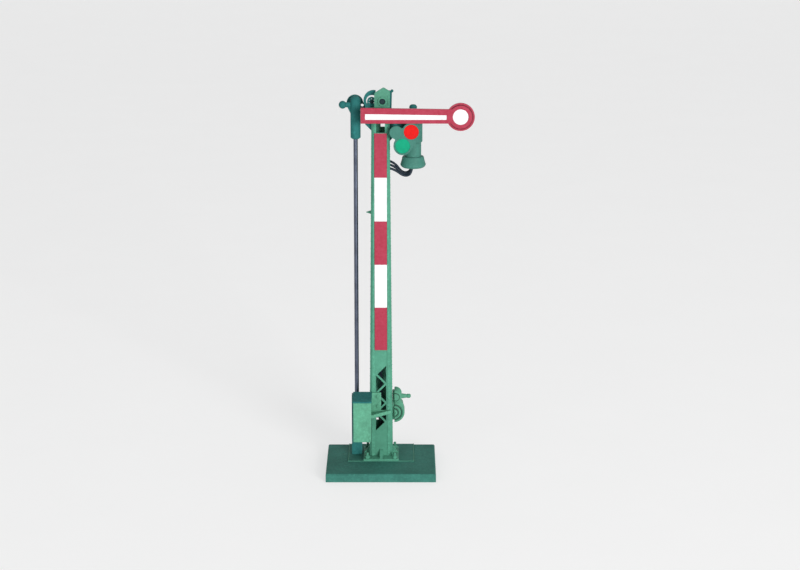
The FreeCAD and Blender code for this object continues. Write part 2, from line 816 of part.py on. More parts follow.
def drive_box():
    body = new_body("drive_box")
    outer = rectangle(-s.box_left, -s.box_right, -s.box_front, -s.box_back)
    slab(body, "top", [outer], s.box_low, s.box_high)
    wall = s.box_wall
    room = rectangle(wall - s.box_left, -s.box_right - wall,
                     wall - s.box_front, -s.box_back - wall)
    slab(body, "top", [room], s.box_low + wall, s.box_high + 1, cut=True)
    return body


def drive_box_lid():
    """A lid that slopes down to the front and laps the box's sides."""
    body = new_body("drive_box_lid")
    lap = s.lid_lap
    front, back = -s.box_front - lap, -s.box_back
    profile = [(front, s.box_high), (back, s.box_high),
               (back, s.box_high + s.lid_thick + s.lid_rise),
               (front, s.box_high + s.lid_thick)]
    slab(body, "side", [profile], -s.box_left - lap, -s.box_right + lap)
    return body


def drive_bracket():
    """A plate on the mast's face that carries the box, with a ledge below it."""
    body = new_body("drive_bracket")
    back = -mast_half(s.ledge_up)
    front = -s.box_back
    slab(body, "front", [rectangle(-s.box_left, 0, s.plate_low, s.plate_high)],
         front, back)
    ledge = [(-s.box_right, front), (-s.box_right, -s.ledge_front),
             (s.ledge_side, front), (s.ledge_side, back), (-s.box_right, back)]
    slab(body, "top", [ledge], s.ledge_up, s.ledge_up + s.ledge_thick)
    rib = rectangle(-s.box_right, 0, s.ledge_up, s.plate_low + 0.1)
    slab(body, "front", [rib], front, back)
    bar = s.ledge_bar
    low = [(-s.box_right - 1, front + 0.01), (-s.box_right - 1, bar * 2 - s.ledge_front),
           (-s.box_right, bar * 1.5 - s.ledge_front), (s.ledge_side - bar * 2, front + 0.01)]
    slab(body, "top", [low], s.ledge_up + s.ledge_thick - 0.3,
         s.ledge_up + s.ledge_thick + 0.2, cut=True)
    return body


def box_screws():
    """Two cheese-head screws that hold the bracket to the mast."""
    body = new_body("box_screws")
    body.AllowCompound = True
    heads = [(-s.screw_side, up, s.screw_radius)
             for up in (s.plate_high - s.screw_inset, s.plate_low + s.screw_inset)]
    slab(body, "front", heads, -s.box_back - 0.25, -s.box_back)
    return body


def rod_guide():
    body = new_body("rod_guide")
    half = s.guide_wide / 2
    outer = rectangle(rod_x - half, rod_x + half, s.rod_back - half, s.rod_back + half)
    slab(body, "top", [outer], insert_top, s.guide_high)
    bore = [(rod_x, s.rod_back, s.rod_radius + s.guide_gap)]
    slab(body, "top", bore, insert_top - 1, s.guide_high + 1, cut=True)
    return body


def guide_strap():
    """The strap that ties the rod's guide to the mast."""
    body = new_body("guide_strap")
    low = s.plate_low
    high = low + s.strap_tall
    left = rod_x + s.guide_wide / 2
    wall = -mast_half(low)
    top_wall = -mast_half(high)
    strap = [(left, low), (wall, low), (top_wall, high), (left, high)]
    slab(body, "front", [strap], s.rod_back - s.strap_half,
         s.rod_back + s.strap_half)
    return body


# ---------------------------------------------------------------- winch


def winch_bracket():
    body = new_body("winch_bracket")
    near = mast_half(s.winch_low)
    deep = s.winch_deep / 2
    face = rectangle(-deep, deep, s.winch_low, s.winch_high)
    slab(body, "side", [face], near, near + s.winch_plate)
    return body


def keep_right(body, reach):
    """Cuts away what would run into the mast or the winch bracket."""
    edge = mast_half(s.winch_low) + s.winch_plate
    low, high = s.winch_low - 4, s.winch_high + 4
    slab(body, "front", [rectangle(-3, edge, low, high)], -reach, reach, cut=True)


def winch_coil():
    """The wound rope drum: nested rings on its front face."""
    body = new_body("winch_coil")
    front, rim = s.coil_front, s.coil_radius
    profile = [(front, 0), (front, rim * 0.85), (front * 0.8, rim), (-front * 0.7, rim)]
    rings = 3
    for k in range(rings):
        out = rim * (1 - k / rings)
        depth = -front * 0.7 - 0.28 * k
        profile.append((depth, out - rim * 0.02))
        profile.append((depth - 0.26, out - rim * 0.12))
        profile.append((depth - 0.05, out - rim * 0.27))
    profile.append((-front * 0.7 - 0.28 * rings, 0))
    turned(body, "Y", s.coil_side, 0, s.coil_up, profile)
    foot, side = s.drum_up - s.drum_radius, s.coil_side
    neck = [(side + 0.3, s.coil_up), (side + 0.3, foot + 0.2), (side + 1.3, foot + 0.6),
            (side + 2.1, foot - 0.5), (side + rim * 0.93, s.coil_up + 0.5)]
    slab(body, "front", [neck], -s.neck_front, s.neck_back)
    drum = [(s.drum_side, s.drum_up, s.drum_radius + s.seat_gap)]
    slab(body, "front", drum, -6, 6, cut=True)
    keep_right(body, 6)
    return body


def winch_drum():
    """The upper, ribbed drum."""
    body = new_body("winch_drum")
    front, rim = s.drum_front, s.drum_radius
    ribs = 7
    step = front * 2 / ribs
    profile = [(front, 0), (front, rim * 0.8)]
    for k in range(ribs):
        at = front - step * (k + 0.5)
        profile.append((at + step * 0.25, rim))
        profile.append((at - step * 0.25, rim))
        profile.append((at - step * 0.5, rim * 0.87))
    profile.append((-front - 0.5, rim * 0.45))
    profile.append((-front - 0.5, 0))
    turned(body, "Y", s.drum_side, 0, s.drum_up, profile)
    keep_right(body, 6)
    return body


def winch_handle():
    body = new_body("winch_handle")
    start = s.drum_side + s.drum_radius * 0.95
    end = s.handle_end
    profile = [(start, 0), (start, 0.62), (end - 0.9, 0.42), (end - 0.75, 0.5),
               (end - 0.2, 0.48), (end, 0.25), (end, 0)]
    turned(body, "X", 0, 0, s.drum_up - s.handle_drop, profile)
    room = [(s.drum_side, s.drum_up, s.drum_radius)]
    slab(body, "front", room, -3, 3, cut=True)
    return body


# ---------------------------------------------------------------- lamp

red_x = eye_x + s.glass_reach * cosine(s.red_angle)
red_up = s.eye_up + s.glass_reach * sine(s.red_angle)
green_angle = s.red_angle - s.spectacle_swing
green_x = eye_x + s.glass_reach * cosine(green_angle)
green_up = s.eye_up + s.glass_reach * sine(green_angle)
roof_top = s.lamp_high + s.lamp_roof


def lamp_body():
    """A hollow turned shell with a short nozzle towards the spectacle."""
    body = new_body("lamp_body")
    wall = s.lamp_wall
    wide, neck = s.lamp_radius, s.neck_radius
    outer = [(s.neck_low, neck), (s.lamp_low - 0.3, neck), (s.lamp_low, wide),
             (s.lamp_high, wide), (roof_top, s.chimney_radius)]
    inner = [(roof_top, s.chimney_radius - 0.3), (s.lamp_high - 0.15, wide - wall),
             (s.lamp_low + 0.2, wide - wall), (s.lamp_low - 0.1, neck - wall),
             (s.neck_low, neck - wall)]
    turned(body, "Z", s.lamp_side, 0, 0, outer + inner)
    slab(body, "front", [(red_x, red_up, s.nozzle_radius)], -s.nozzle_front,
         -s.lamp_radius * 0.62)
    window = (red_x, red_up, s.nozzle_radius - wall)
    slab(body, "front", [window], -s.nozzle_front - 1, -s.lamp_radius * 0.2, cut=True)
    return body


def lamp_chimney():
    body = new_body("lamp_chimney")
    pipe, cap = s.chimney_radius, s.chimney_cap
    high = s.chimney_high
    profile = [(roof_top, 0), (roof_top, pipe), (high - 1.0, pipe), (high - 0.85, cap),
               (high - 0.45, cap), (high - 0.12, cap * 0.8), (high, cap * 0.5), (high, 0)]
    turned(body, "Z", s.lamp_side, 0, 0, profile)
    return body


def lamp_base():
    """The flared foot of the lamp, open below for the leads."""
    body = new_body("lamp_base")
    hole = s.bulb_radius + 0.1
    rim = s.flare_radius
    profile = [(s.flare_low, hole), (s.flare_low, rim * 0.8),
               (s.flare_low + 0.25, rim * 0.92), (s.flare_rim - 0.2, rim),
               (s.flare_rim, rim), (s.flare_rim + 0.2, rim * 0.97),
               (s.neck_low, s.flare_top), (s.neck_low, hole)]
    turned(body, "Z", s.lamp_side, 0, 0, profile)
    return body


def bulb_holder():
    body = new_body("bulb_holder")
    slab(body, "top", [(s.lamp_side, 0, s.neck_radius - s.lamp_wall - s.seat_gap)],
         s.neck_low, s.neck_low + s.holder_tall)
    return body


def lamp_bulb():
    body = new_body("lamp_bulb")
    low = s.neck_low + s.holder_tall
    r = s.bulb_radius
    high = s.eye_up + 0.9
    dome = [(high - r + r * sine(15 * k), r * cosine(15 * k)) for k in range(6)]
    profile = [(low, 0), (low, r * 0.85), (low + 0.5, r * 0.85), (low + 0.9, r),
               *dome, (high, 0)]
    turned(body, "Z", s.lamp_side, 0, 0, profile)
    return body


def lamp_lens():
    body = new_body("lamp_lens")
    r = s.nozzle_radius - s.lamp_wall
    slab(body, "front", [(red_x, red_up, r)], -s.nozzle_front + 0.05,
         -s.nozzle_front + 0.35)
    return body


def lamp_arm():
    """The bracket that carries the lamp and the spectacle's stud."""
    body = new_body("lamp_arm")
    low, high = s.arm_of_lamp_low, s.arm_of_lamp_high
    low_wall, high_wall = mast_half(low), mast_half(high)
    outline = [(low_wall, low), (s.lamp_side, low), (s.lamp_side, high),
               (high_wall, high)]
    half = s.arm_of_lamp_half
    slab(body, "front", [outline], -half, half)
    rib_low = low - s.lamp_rib
    rib = [(low_wall, low), (mast_half(rib_low), rib_low), (low_wall + 1.4, low)]
    slab(body, "front", [rib], -0.35, 0.35)
    seat = [(s.lamp_side, 0, s.lamp_radius)]
    slab(body, "top", seat, low - 1, high + 1, cut=True)
    stud = [(eye_x, s.eye_up, s.stud_radius)]
    slab(body, "front", stud, -half - 1, -half + s.stud_seat, cut=True)
    return body


def spectacle_stud():
    body = new_body("spectacle_stud")
    tip = s.spectacle_back + 0.45
    slab(body, "front", [(eye_x, s.eye_up, s.stud_radius)], -tip,
         -s.arm_of_lamp_half + s.stud_seat)
    return body


# ---------------------------------------------------------------- leads


def direction(start, end):
    way = end - start
    return way / way.Length


def lead_path(corners):
    """Straight runs joined by tangent arcs, as large as the runs allow."""
    edges = []
    at = corners[0]
    for before, corner, after in zip(corners, corners[1:], corners[2:]):
        way_in, way_out = direction(before, corner), direction(corner, after)
        turn = way_in.getAngle(way_out)
        back = 0.45 * min((corner - before).Length, (after - corner).Length)
        radius = back / math.tan(turn / 2)
        start, end = corner - way_in * back, corner + way_out * back
        middle = direction(corner, (start + end) / 2)
        bulge = corner + middle * (radius / math.cos(turn / 2) - radius)
        edges.append(Part.LineSegment(at, start).toShape())
        edges.append(Part.Arc(start, bulge, end).toShape())
        print(f"lead arc radius {radius:.2f} mm")
        at = end
    edges.append(Part.LineSegment(at, corners[-1]).toShape())
    return Part.Wire(edges)


def lead_corners(number):
    """The route of one lead, from the bulb's holder to the base's outlet."""
    side, aside = SIZES["lamp_side"], (number - 1) * SIZES["wire_aside"]
    lift = (number - 1) * SIZES["wire_lift"]
    top, slot = SIZES["neck_low"], SIZES["lead_slot_low"]
    return [Vector(side, aside, top), Vector(side - 0.1, aside, top - 3.6 + lift * 0.3),
            Vector(5.3 - lift * 0.3, aside, top - 4.5 + lift * 0.35),
            Vector(3.1, aside, slot + 1 + lift), Vector(0.1, aside, slot + 1.6 + lift),
            Vector(0, aside + 0.05, slot - 4.4), Vector(0, aside + SIZES["lead_back"], 0.3)]


def lamp_leads():
    tubes = []
    radius = SIZES["wire_radius"]
    for number in range(3):
        corners = lead_corners(number)
        path = lead_path(corners)
        ring = Part.Circle(corners[0], direction(corners[0], corners[1]), radius)
        profile = Part.Wire([ring.toShape()])
        tube = path.makePipeShell([profile], True, True)
        tubes.append(tube)
        expected = math.pi * radius ** 2 * path.Length
        print(f"lead {number}: length {path.Length:.1f}, volume {tube.Volume / expected:.4f}")
    item = doc.addObject("Part::Feature", "lamp_leads")
    item.Label = "lamp_leads"
    item.Shape = Part.makeCompound([Part.Solid(tube) if tube.ShapeType == "Shell" else tube
                                    for tube in tubes])
    return item


# ---------------------------------------------------------------- spectacle


def joining_strip(a, b, half):
    """The straight-sided strip that joins two points (x, up) of a plate."""
    (ax, au), (bx, bu) = a, b
    run, rise = bx - ax, bu - au
    span = math.hypot(run.number, rise.number)
    nx, nu = -rise / span * half, run / span * half
    return [(ax + nx, au + nu), (ax - nx, au - nu), (bx - nx, bu - nu), (bx + nx, bu + nu)]


def spectacle_plate():
    """Two glass rings and a boss, joined into one plate."""
    body = new_body("spectacle_plate")
    rim = s.glass_radius + s.rim_wide
    back = -s.spectacle_back
    front = back - s.spectacle_thick
    eye, red, green = (eye_x, s.eye_up), (red_x, red_up), (green_x, green_up)
    boss = (*eye, s.boss_radius)
    for disc in (boss, (*red, rim), (*green, rim)):
        slab(body, "front", [disc], front, back)
    for a, b, half in ((eye, red, s.neck_half), (eye, green, s.neck_half),
                       (red, green, rim)):
        slab(body, "front", [joining_strip(a, b, half)], front, back)
    slab(body, "front", [boss], front - 0.12, front + 0.1)
    seats = [(x, up, s.glass_radius) for x, up in ((red_x, red_up), (green_x, green_up))]
    slab(body, "front", seats, front - 1, front + s.glass_thick + 0.1, cut=True)
    holes = [(x, up, s.glass_radius - 0.2)
             for x, up in ((red_x, red_up), (green_x, green_up))]
    slab(body, "front", holes, front - 1, back + 1, cut=True)
    bore = [(eye_x, s.eye_up, s.stud_radius + s.running_gap)]
    slab(body, "front", bore, back - 0.5, back + 1, cut=True)
    return body


def colour_glass(name, x, up):
    body = new_body(name)
    front = -s.spectacle_back - s.spectacle_thick + 0.1
    slab(body, "front", [(x, up, s.glass_radius)], front, front + s.glass_thick)
    return body


def red_glass():
    return colour_glass("red_glass", red_x, red_up)


def green_glass():
    return colour_glass("green_glass", green_x, green_up)


# The link joins a pin on the arm with a pin on the spectacle. Both pins stand level
# with their pivots half way through the travel, so the link moves straight up.
arm_pin = (s.crank_reach * cosine(arm_mid), s.pivot_up - s.crank_reach * sine(arm_mid))
pin_reach = s.crank_reach * sine(arm_mid) / sine(swing_mid)
eye_pin = (eye_x + pin_reach * cosine(swing_mid), s.eye_up - pin_reach * sine(swing_mid))
link_front = -s.link_back - s.link_thick


def link_pin():
    body = new_body("link_pin")
    slab(body, "front", [(*arm_pin, s.link_pin_radius)], blade_back, -s.link_back + 0.05)
    slab(body, "front", [(*arm_pin, s.link_pin_radius + 0.2)], blade_back,
         link_front - 0.1)
    return body


def spectacle_pin():
    body = new_body("spectacle_pin")
    slab(body, "front", [(*eye_pin, s.link_pin_radius)], -s.spectacle_back,
         -s.link_back + 0.05)
    return body


def spectacle_link():
    body = new_body("spectacle_link")
    bar = joining_strip(arm_pin, eye_pin, s.link_half)
    back = -s.link_back
    slab(body, "front", [bar], link_front, back)
    for x, up in (arm_pin, eye_pin):
        slab(body, "front", [(x, up, s.link_eye)], link_front, back)
    tight = (*arm_pin, s.link_pin_radius + s.running_gap)
    loose = (*eye_pin, s.link_pin_radius + s.link_play)
    slab(body, "front", [tight, loose], link_front - 1, back + 1, cut=True)
    return body


# ---------------------------------------------------------------- make and write

PIECES = [
    base_plate, base_insert, mast_foot, foot_bolts, mast_column, mast_board,
    board_red_bands, mast_peg, cap_front_plate, cap_rear_plate, cap_sheave, cap_axle,
    shaft_bushes, pulley_bracket, hoist_pulley, pulley_pin, drive_box, drive_box_lid,
    drive_bracket, box_screws, rod_guide, guide_strap, winch_bracket, winch_coil,
    winch_drum, winch_handle, lamp_body, lamp_chimney, lamp_base, bulb_holder,
    lamp_bulb, lamp_lens, lamp_arm, spectacle_stud, lamp_leads,
    arm_shaft, arm_hub, arm_blade, arm_stripe, arm_white_disc, crank_lever, link_pin,
    pull_rod, rod_head, head_knob, head_pin,
    spectacle_plate, red_glass, green_glass, spectacle_pin,
    spectacle_link,
]

nodes = [make() for make in PIECES]
doc.recompute()

for item in doc.Objects:
    if "Invalid" in item.State or "Error" in item.State:
        raise RuntimeError(f"{item.Label} failed: {item.State}")
for node in nodes:
    if node.Shape.isNull() or not node.Shape.isValid() or not node.Shape.Solids:
        raise RuntimeError(f"{node.Label} has no valid solid")

os.makedirs("parts", exist_ok=True)
for node in nodes:
    node.Shape.exportStep(f"parts/{node.Label}.step")
print(f"{len(nodes)} nodes written")
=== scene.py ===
"""Model signal mast: finishes, softened castings and small fittings on a fixed frame."""

import json
import math

import bmesh
import bpy
from bpy.props import FloatProperty, FloatVectorProperty, PointerProperty
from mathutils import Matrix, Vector

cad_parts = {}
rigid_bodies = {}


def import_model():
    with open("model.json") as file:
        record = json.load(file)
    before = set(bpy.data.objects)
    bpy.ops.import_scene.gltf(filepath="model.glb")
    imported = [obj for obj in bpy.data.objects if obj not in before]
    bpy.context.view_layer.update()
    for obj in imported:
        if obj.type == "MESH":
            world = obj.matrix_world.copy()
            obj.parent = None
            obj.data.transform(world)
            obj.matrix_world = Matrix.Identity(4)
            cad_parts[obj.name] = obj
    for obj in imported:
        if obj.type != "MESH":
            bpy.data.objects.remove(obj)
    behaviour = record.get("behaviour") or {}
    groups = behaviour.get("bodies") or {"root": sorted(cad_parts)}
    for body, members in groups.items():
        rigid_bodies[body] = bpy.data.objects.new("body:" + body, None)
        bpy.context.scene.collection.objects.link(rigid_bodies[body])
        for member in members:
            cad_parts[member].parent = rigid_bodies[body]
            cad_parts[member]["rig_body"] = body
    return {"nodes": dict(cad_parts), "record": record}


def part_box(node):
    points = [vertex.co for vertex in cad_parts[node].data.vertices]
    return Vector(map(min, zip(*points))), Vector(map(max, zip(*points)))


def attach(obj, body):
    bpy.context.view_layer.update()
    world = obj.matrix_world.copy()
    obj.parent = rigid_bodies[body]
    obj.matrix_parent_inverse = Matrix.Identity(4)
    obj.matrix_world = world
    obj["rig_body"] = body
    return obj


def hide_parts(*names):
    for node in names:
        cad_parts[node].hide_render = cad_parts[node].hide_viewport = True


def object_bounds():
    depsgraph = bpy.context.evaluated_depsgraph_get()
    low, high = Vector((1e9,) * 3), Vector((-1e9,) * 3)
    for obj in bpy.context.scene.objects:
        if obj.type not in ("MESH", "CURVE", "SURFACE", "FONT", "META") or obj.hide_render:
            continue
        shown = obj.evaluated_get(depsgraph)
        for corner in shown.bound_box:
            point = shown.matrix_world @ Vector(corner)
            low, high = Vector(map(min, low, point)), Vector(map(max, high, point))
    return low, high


bl_info = {
    "name": "Signal mast finisher",
    "version": (1, 0, 0),
    "blender": (4, 5, 0),
    "location": "3D View > Sidebar > Signal",
    "description": "Finishes a small lattice signal mast",
    "category": "Object",
}

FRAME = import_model()
NODES = FRAME["nodes"]
MM = 0.001
CAD_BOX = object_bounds()
WELD = 2e-6
FLAT = math.radians(1.5)
EDGE_ANGLE = 32
ROUND_ANGLE = 50


def colour(name, text, value):
    """A colour setting with its default, in scene-linear values."""
    return FloatVectorProperty(name=name, description=text, subtype="COLOR", size=3,
                               min=0.0, max=1.0, default=value)


def length(name, text, value):
    """A length setting in millimetres."""
    return FloatProperty(name=name, description=text, min=0.0, soft_max=5.0,
                         default=value)


class SignalPaint(bpy.types.PropertyGroup):
    """Colours of the paints, the enamel and the glass."""

    mast: colour("Mast green", "Paint of the mast and its foot", (0.07, 0.26, 0.175))
    lamp: colour("Lamp green", "Paint of the lamp and spectacle", (0.047, 0.172, 0.137))
    cap: colour("Cap green", "Paint of the cap's front cheek", (0.07, 0.245, 0.165))
    bright: colour("Box green", "Paint of the drive box and winch", (0.085, 0.285, 0.185))
    # Dark green: the green made darker as painted shade, for the crank, rod head and lid,
    # which sit in shade or face upwards.
    shaded_green: colour("Dark green", "Paint of the crank, rod head and lid", (0.02, 0.134, 0.128))
    # Base green: darker than the mast's green, as painted shade on the base's upward face.
    base: colour("Base green", "Paint of the base plate", (0.035, 0.15, 0.12))
    red: colour("Signal red", "Enamel of the arm and the board", (0.33, 0.022, 0.05))
    white: colour("Signal white", "Enamel of the stripe, disc and board", (0.74, 0.76, 0.77))
    steel: colour("Rod steel", "Blued wire of the pull rod", (0.1, 0.115, 0.16))
    red_glass: colour("Red glass", "Upper glass of the spectacle", (0.43, 0.004, 0.003))
    green_glass: colour("Green glass", "Lower glass of the spectacle", (0.0015, 0.207, 0.112))
    lead: colour("Lead", "Sleeve of the lamp's leads", (0.008, 0.016, 0.028))


class SignalSizes(bpy.types.PropertyGroup):
    """Sizes of the edges and the small fittings, in millimetres."""

    edge: length("Casting edge", "Rounding of the castings' edges", 0.09)
    sheet_edge: length("Sheet edge", "Rounding of the thin sheet pieces", 0.045)
    rivet: length("Rivet", "Radius of the mast's rivet heads", 0.12)
    small_rivet: length("Small rivet", "Radius of the rivets on rims and box", 0.09)
    bead: length("Insert bead", "Radius of the bead round the base's insert", 0.08)
    groove: length("Disc groove", "Thickness of the groove round the disc", 0.1)
    rope: length("Winch rope", "Radius of the winch's dummy rope", 0.16)
    lead: length("Lead", "Radius of one lead's sleeve", 0.28)


# ---------------------------------------------------------------- node helpers


class Tree:
    """Short ways to add and join a material's nodes."""

    def __init__(self, name):
        self.material = bpy.data.materials.new(name)
        self.material.use_nodes = True
        self.tree = self.material.node_tree
        self.nodes = self.tree.nodes
        self.surface = self.nodes["Principled BSDF"]

    def add(self, kind, **inputs):
        node = self.nodes.new(kind)
        for key, value in inputs.items():
            node.inputs[key.replace("_", " ")].default_value = value
        return node

    def join(self, source, target):
        self.tree.links.new(source, target)

    def set(self, name, value):
        self.surface.inputs[name].default_value = value


def place(tree):
    """Object coordinates, shared by the patterns of one material."""
    return tree.add("ShaderNodeTexCoord").outputs["Object"]


def noise(tree, where, scale, detail=3.0, rough=0.55):
    node = tree.add("ShaderNodeTexNoise", Scale=scale, Detail=detail, Roughness=rough)
    tree.join(where, node.inputs["Vector"])
    return node.outputs["Fac"]


def ramp(tree, source, stops):
    """A colour ramp from a list of (place, value or colour)."""
    node = tree.add("ShaderNodeValToRGB")
    tree.join(source, node.inputs["Fac"])
    elements = node.color_ramp.elements
    while len(elements) < len(stops):
        elements.new(0.5)
    for element, (at, value) in zip(elements, stops):
        element.position = at
        if isinstance(value, (int, float)):
            value = (value, value, value)
        element.color = (*value, 1.0)
    return node.outputs["Color"]


def mix(tree, share, first, second, blend="MIX"):
    """Mixes two colours; each may be a socket or a constant."""
    node = tree.add("ShaderNodeMix")
    node.data_type = "RGBA"
    node.blend_type = blend
    for socket, value in ((node.inputs["Factor"], share), (node.inputs[6], first),
                          (node.inputs[7], second)):
        if isinstance(value, bpy.types.NodeSocket):
            tree.join(value, socket)
        elif isinstance(value, (int, float)):
            socket.default_value = value
        else:
            socket.default_value = (*value, 1.0)
    return node.outputs[2]


def bump(tree, source, strength, distance, below=None):
    node = tree.add("ShaderNodeBump", Strength=strength, Distance=distance)
    tree.join(source, node.inputs["Height"])
    if below is not None:
        tree.join(below, node.inputs["Normal"])
    return node.outputs["Normal"]


def shade(value, factor):
    return tuple(min(1.0, channel * factor) for channel in value)


def edges(tree, inner, outer):
    """A mask from the mesh's own shape, high on outward edges and low in corners; it places
    the painted edge highlight and the painted shade in creases.
    """
    node = tree.add("ShaderNodeNewGeometry")
    return ramp(tree, node.outputs["Pointiness"], [(inner, 0.0), (outer, 1.0)])


# ---------------------------------------------------------------- materials


def painted(name, base, rough=0.58, dust=0.12, grain=9000, gloss=0.18):
    """Brushed-on model paint over a casting: thin orange peel, dust, worn edges carrying a
    painted highlight, and painted shade in creases.
    """
    tree = Tree(name)
    where = place(tree)
    broad = noise(tree, where, 260, 3)
    fine = noise(tree, where, grain, 2)
    speck = noise(tree, where, 2600, 5, 0.7)
    tone = mix(tree, ramp(tree, broad, [(0.35, 0.0), (0.65, 1.0)]),
               shade(base, 0.88), shade(base, 1.12))
    tone = mix(tree, ramp(tree, speck, [(0.46, 0.0), (0.62, 0.32)]), tone,
               shade(base, 0.72))
    dusty = tuple(0.75 * channel + 0.08 for channel in base)
    top = tree.add("ShaderNodeSeparateXYZ")
    tree.join(tree.add("ShaderNodeNewGeometry").outputs["Normal"], top.inputs["Vector"])
    level = ramp(tree, top.outputs["Z"], [(0.6, 0.0), (1.0, 1.0)])
    settled = ramp(tree, noise(tree, where, 700, 4, 0.6), [(0.4, 0.0), (0.75, dust)])
    tone = mix(tree, mix(tree, level, (0, 0, 0), settled), tone, dusty)
    # Outward edges turn 1.8 times brighter in patches: partly worn edges, partly a painted
    # highlight.
    wear_and_sheen = ramp(tree, noise(tree, where, 1500, 4, 0.7), [(0.46, 0.0), (0.7, 0.55)])
    worn_and_lit_edges = mix(tree, edges(tree, 0.53, 0.6), (0, 0, 0), wear_and_sheen)
    tone = mix(tree, worn_and_lit_edges, tone, shade(base, 1.8))
    # Corners and creases turn darker: painted shade.
    crease_shade = mix(tree, edges(tree, 0.4, 0.49), (0.6, 0.6, 0.6), (0, 0, 0))
    tone = mix(tree, crease_shade, tone, shade(base, 0.4))
    tree.join(tone, tree.surface.inputs["Base Color"])
    tree.join(ramp(tree, speck, [(0.3, rough - 0.08), (0.7, rough + 0.12)]),
              tree.surface.inputs["Roughness"])
    relief = bump(tree, fine, 0.25, 0.00002)
    tree.join(bump(tree, speck, 0.3, 0.00003, relief), tree.surface.inputs["Normal"])
    tree.set("Specular IOR Level", gloss)
    return tree.material


def enamel(name, base, second, rough=0.33):
    """Printed enamel: even colour with a slight mottle and thin scuffs."""
    tree = Tree(name)
    where = place(tree)
    mottle = noise(tree, where, 1800, 4, 0.65)
    cloud = noise(tree, where, 190, 2)
    tone = mix(tree, ramp(tree, mottle, [(0.38, 0.0), (0.66, 0.55)]), base, second)
    tone = mix(tree, ramp(tree, cloud, [(0.4, 0.0), (0.7, 0.35)]), tone, shade(base, 0.84))
    tree.join(tone, tree.surface.inputs["Base Color"])
    tree.join(ramp(tree, mottle, [(0.3, rough - 0.07), (0.7, rough + 0.1)]),
              tree.surface.inputs["Roughness"])
    tree.join(bump(tree, noise(tree, where, 7000, 2), 0.18, 0.00002),
              tree.surface.inputs["Normal"])
    tree.set("Specular IOR Level", 0.3)
    return tree.material


def drawn_steel(name, base, rough=0.27):
    """Drawn wire: fine lines along its length, blued in patches."""
    tree = Tree(name)
    where = place(tree)
    stretch = tree.add("ShaderNodeMapping", Scale=(9000, 9000, 160))
    tree.join(where, stretch.inputs["Vector"])
    lines = tree.add("ShaderNodeTexNoise", Scale=1.0, Detail=3.0)
    tree.join(stretch.outputs["Vector"], lines.inputs["Vector"])
    patch = noise(tree, where, 320, 4, 0.6)
    tone = mix(tree, ramp(tree, patch, [(0.35, 0.0), (0.65, 1.0)]),
               shade(base, 0.75), shade(base, 1.25))
    tree.join(tone, tree.surface.inputs["Base Color"])
    tree.join(ramp(tree, lines.outputs["Fac"], [(0.3, rough - 0.08), (0.7, rough + 0.16)]),
              tree.surface.inputs["Roughness"])
    tree.join(bump(tree, lines.outputs["Fac"], 0.2, 0.00001), tree.surface.inputs["Normal"])
    tree.set("Metallic", 1.0)
    return tree.material


def coloured_glass(name, base, painted_glow):
    """A pressed lamp glass: clear coat over a body colour that it also emits, a painted glow.
    """
    tree = Tree(name)
    where = place(tree)
    swirl = noise(tree, where, 900, 3)
    tone = mix(tree, ramp(tree, swirl, [(0.35, 0.0), (0.7, 1.0)]), base, shade(base, 1.25))
    tree.join(tone, tree.surface.inputs["Base Color"])
    # The glass emits its own colour: a painted glow.
    tree.join(tone, tree.surface.inputs["Emission Color"])
    tree.set("Emission Strength", painted_glow)
    tree.set("Roughness", 0.22)
    tree.set("Specular IOR Level", 0.12)
    tree.set("Coat Weight", 0.12)
    tree.set("Coat Roughness", 0.06)
    tree.join(bump(tree, swirl, 0.1, 0.00003), tree.surface.inputs["Normal"])
    return tree.material


def clear_glass(name, base, rough=0.08):
    tree = Tree(name)
    where = place(tree)
    haze = noise(tree, where, 1100, 3)
    tree.join(ramp(tree, haze, [(0.3, rough), (0.7, rough + 0.12)]),
              tree.surface.inputs["Roughness"])
    tree.set("Base Color", (*base, 1.0))
    tree.set("Transmission Weight", 0.85)
    tree.set("IOR", 1.48)
    return tree.material


def sleeve(name, base):
    """Soft plastic sleeve of a thin lead."""
    tree = Tree(name)
    where = place(tree)
    smudge = noise(tree, where, 1400, 3)
    tone = mix(tree, ramp(tree, smudge, [(0.4, 0.0), (0.7, 1.0)]), base,
               tuple(channel * 1.4 + 0.004 for channel in base))
    tree.join(tone, tree.surface.inputs["Base Color"])
    tree.join(ramp(tree, smudge, [(0.3, 0.4), (0.7, 0.55)]),
              tree.surface.inputs["Roughness"])
    tree.set("Specular IOR Level", 0.2)
    tree.join(bump(tree, noise(tree, where, 5200, 2), 0.2, 0.00002),
              tree.surface.inputs["Normal"])
    return tree.material


